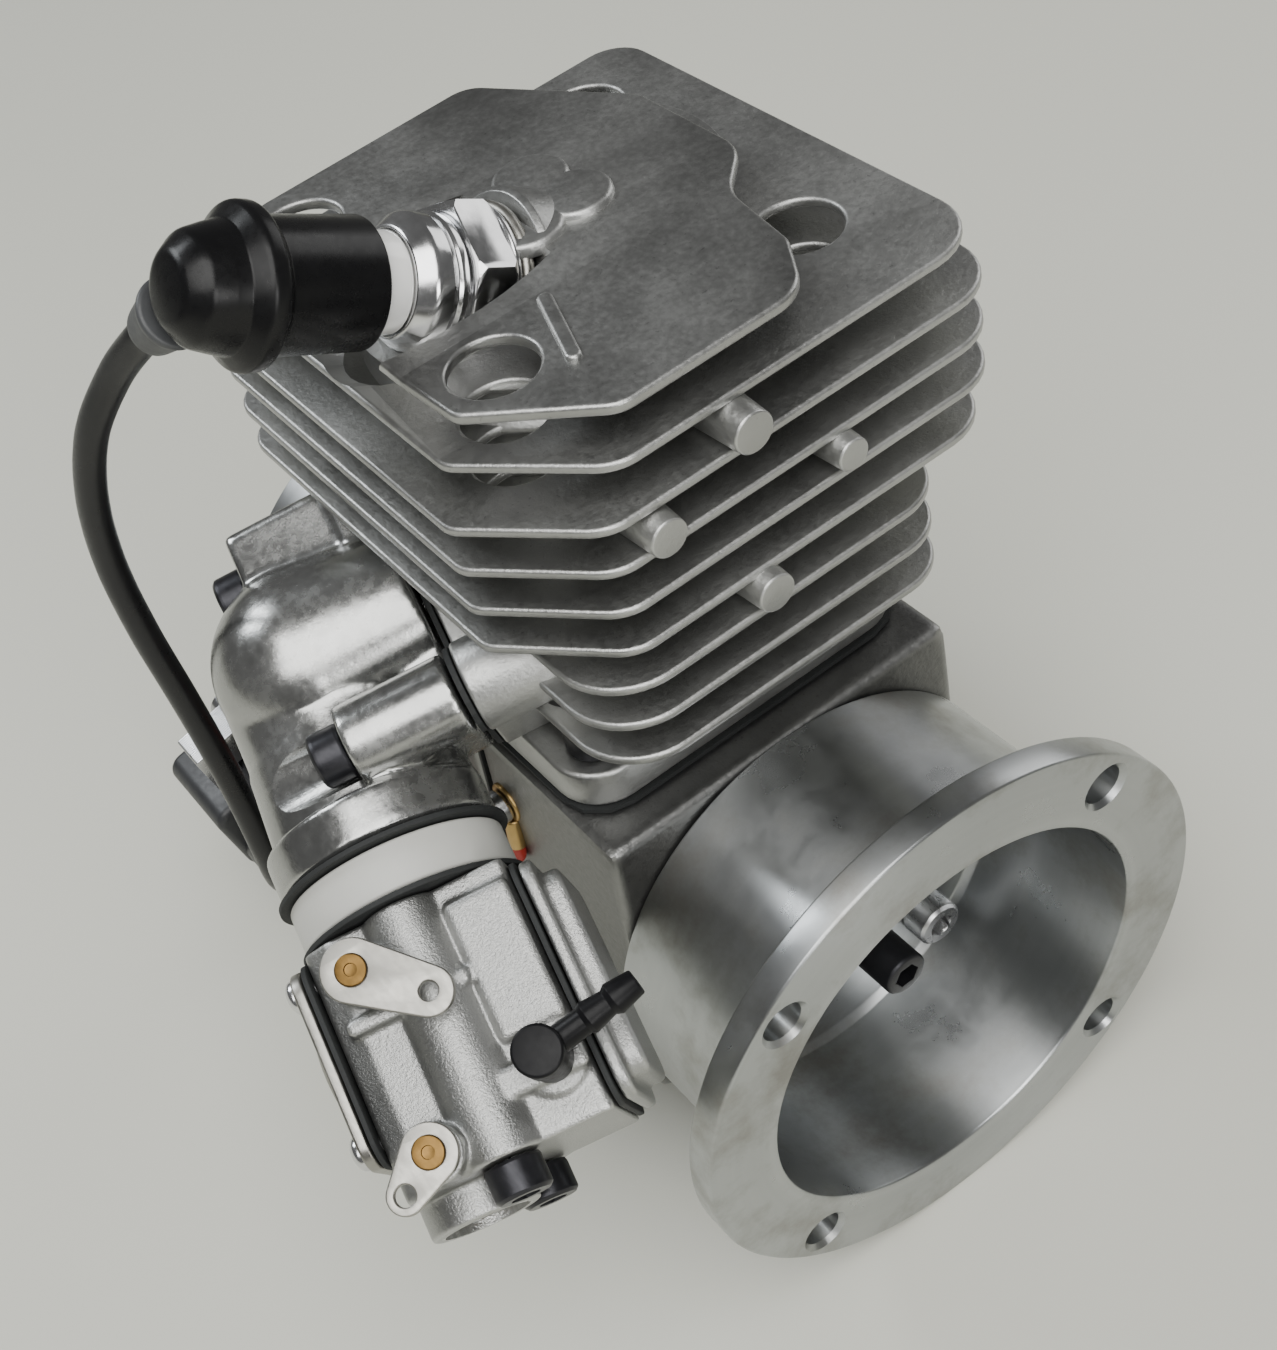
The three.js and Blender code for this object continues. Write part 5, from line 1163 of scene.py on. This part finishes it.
# ---- stage ----
class ENGINE_OT_stage(bpy.types.Operator):
    """Lay the pale floor and set the soft lights and the camera"""

    bl_idname = "engine.stage"
    bl_label = "Stage"

    def execute(self, context):
        look = context.scene.engine_look
        along = np.linspace(-3, 3, 33)
        x, y = np.meshgrid(along, along, indexing="ij")
        points = np.stack([x, y, np.zeros_like(x)], -1)
        rows = np.arange(32)[:, None] * 33 + np.arange(32)[None]
        faces = np.stack([rows, rows + 33, rows + 34, rows + 1], -1).reshape(-1, 4)
        mesh = bpy.data.meshes.new("floor")
        mesh.from_pydata(points.reshape(-1, 3), [], faces)
        s = Shader("floor_paper")
        tone = s.noise(3, 3, 0.5)
        floor = tuple(look.floor_colour)
        s.plug("Base Color", s.ramp(tone, (0.3, tinted(floor, 0.985)), (0.7, floor)))
        s.plug("Roughness", 0.85)
        s.plug("Specular IOR Level", 0.15)
        mesh.materials.append(s.material)
        shown("floor", mesh)
        middle = Vector((0, 0, 0.08))
        power = look.light_power
        for name, spot, size, energy, colour in (
            ("key", (-0.28, -0.42, 0.95), 0.85, power * 0.85, (1, 0.995, 0.975)),
            ("window", (-0.36, 0.72, 0.80), 0.42, power * 0.34, (0.93, 0.97, 1)),
            ("front", (-0.14, -1.15, 0.46), 0.42, power * 0.3, (1, 0.995, 0.98)),
            ("right", (0.95, 0.1, 0.5), 0.6, power * 0.16, (1, 1, 0.99)),
        ):
            light = bpy.data.lights.new(name, "AREA")
            light.shape = "SQUARE"
            light.size = size
            light.energy = energy
            light.color = colour
            lamp = shown(name, light)
            lamp.location = spot
            lamp.rotation_euler = (middle - Vector(spot)).to_track_quat("-Z", "Y").to_euler()
        world = bpy.data.worlds.new("studio")
        world.use_nodes = True
        background = world.node_tree.nodes["Background"]
        background.inputs["Color"].default_value = (0.93, 0.93, 0.92, 1)
        background.inputs["Strength"].default_value = look.world_strength
        context.scene.world = world

        right = Vector((0.80839, -0.54151, -0.23081))
        up = Vector((0.54516, 0.54080, 0.64057))
        back = Vector((-0.22205, -0.64366, 0.73239))
        spot = (CRANK_CENTRE + Vector((-109.48, -203.87, 261.40))) * MM
        data = bpy.data.cameras.new("camera")
        data.sensor_width = 36
        data.lens = 52.59
        data.shift_x = 0.1404
        data.shift_y = 0.0779
        data.clip_start = 0.01
        camera = shown("camera", data)
        camera.matrix_world = Matrix((
            (right.x, up.x, back.x, spot.x), (right.y, up.y, back.y, spot.y),
            (right.z, up.z, back.z, spot.z), (0, 0, 0, 1),
        ))
        context.scene.camera = camera
        return {"FINISHED"}


# ---- what a user would change, and the panel ----
class ENGINE_PG_sizes(bpy.types.PropertyGroup):
    """Sizes that a user would change"""

    fin_thickness: FloatProperty(
        name="Fin thickness", description="Thickness of each cooling fin", default=0.0015, unit="LENGTH")
    plug_hexagon: FloatProperty(
        name="Plug hexagon", description="Spark plug's spanner size, across flats", default=0.019, unit="LENGTH")
    lead_thickness: FloatProperty(
        name="Lead thickness", description="Diameter of the high-tension lead", default=0.0049, unit="LENGTH")
    wire_thickness: FloatProperty(
        name="Wire thickness", description="Diameter of the earth wire", default=0.0025, unit="LENGTH")
    thread_pitch: FloatProperty(
        name="Stud pitch", description="Pitch of the output stud's thread", default=0.00125, unit="LENGTH")


class ENGINE_PG_look(bpy.types.PropertyGroup):
    """Colours and lights that a user would change"""

    cast_colour: FloatVectorProperty(
        name="Cast alloy", description="Colour of the castings", subtype="COLOR", size=3,
        default=(0.34, 0.342, 0.334))
    turned_colour: FloatVectorProperty(
        name="Turned alloy", description="Colour of turned parts", subtype="COLOR", size=3,
        default=(0.47, 0.485, 0.49))
    steel_colour: FloatVectorProperty(
        name="Steel", description="Colour of steel and plated parts", subtype="COLOR", size=3,
        default=(0.58, 0.58, 0.585))
    floor_colour: FloatVectorProperty(
        name="Floor", description="Colour of the floor", subtype="COLOR", size=3, default=(0.66, 0.66, 0.59))
    light_power: FloatProperty(
        name="Overhead light", description="Power of the overhead light", default=15.0, unit="POWER")
    world_strength: FloatProperty(
        name="Surroundings", description="Strength of the even light", default=0.16, subtype="FACTOR")


PIECE_STEPS = (
    ENGINE_OT_inner_finishes, ENGINE_OT_cylinder, ENGINE_OT_crankcase, ENGINE_OT_mount_tube, ENGINE_OT_flywheel,
    ENGINE_OT_coil, ENGINE_OT_spark_plug, ENGINE_OT_lead, ENGINE_OT_elbow, ENGINE_OT_insulator,
    ENGINE_OT_carburettor, ENGINE_OT_levers, ENGINE_OT_fuel_elbow, ENGINE_OT_screws, ENGINE_OT_stage,
)


class ENGINE_PT_panel(bpy.types.Panel):
    """The engine's pieces, in the 3D view's sidebar"""

    bl_idname = "ENGINE_PT_panel"
    bl_label = "Model Engine"
    bl_space_type = "VIEW_3D"
    bl_region_type = "UI"
    bl_category = "Engine"

    def draw(self, context):
        scene = context.scene
        for group, kind in ((scene.engine_sizes, ENGINE_PG_sizes), (scene.engine_look, ENGINE_PG_look)):
            for key in kind.__annotations__:
                self.layout.prop(group, key)
        for step in PIECE_STEPS:
            self.layout.operator(step.bl_idname)


CLASSES = (ENGINE_PG_sizes, ENGINE_PG_look, *PIECE_STEPS, ENGINE_PT_panel)


def register():
    for item in CLASSES:
        bpy.utils.register_class(item)
    bpy.types.Scene.engine_sizes = PointerProperty(type=ENGINE_PG_sizes)
    bpy.types.Scene.engine_look = PointerProperty(type=ENGINE_PG_look)


def unregister():
    del bpy.types.Scene.engine_look
    del bpy.types.Scene.engine_sizes
    for item in reversed(CLASSES):
        bpy.utils.unregister_class(item)


def main():
    """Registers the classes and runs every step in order."""
    register()
    make_finishes(bpy.context.scene.engine_look)
    for step in PIECE_STEPS:
        group, name = step.bl_idname.split(".")
        getattr(getattr(bpy.ops, group), name)()


if __name__ == "__main__":
    main()
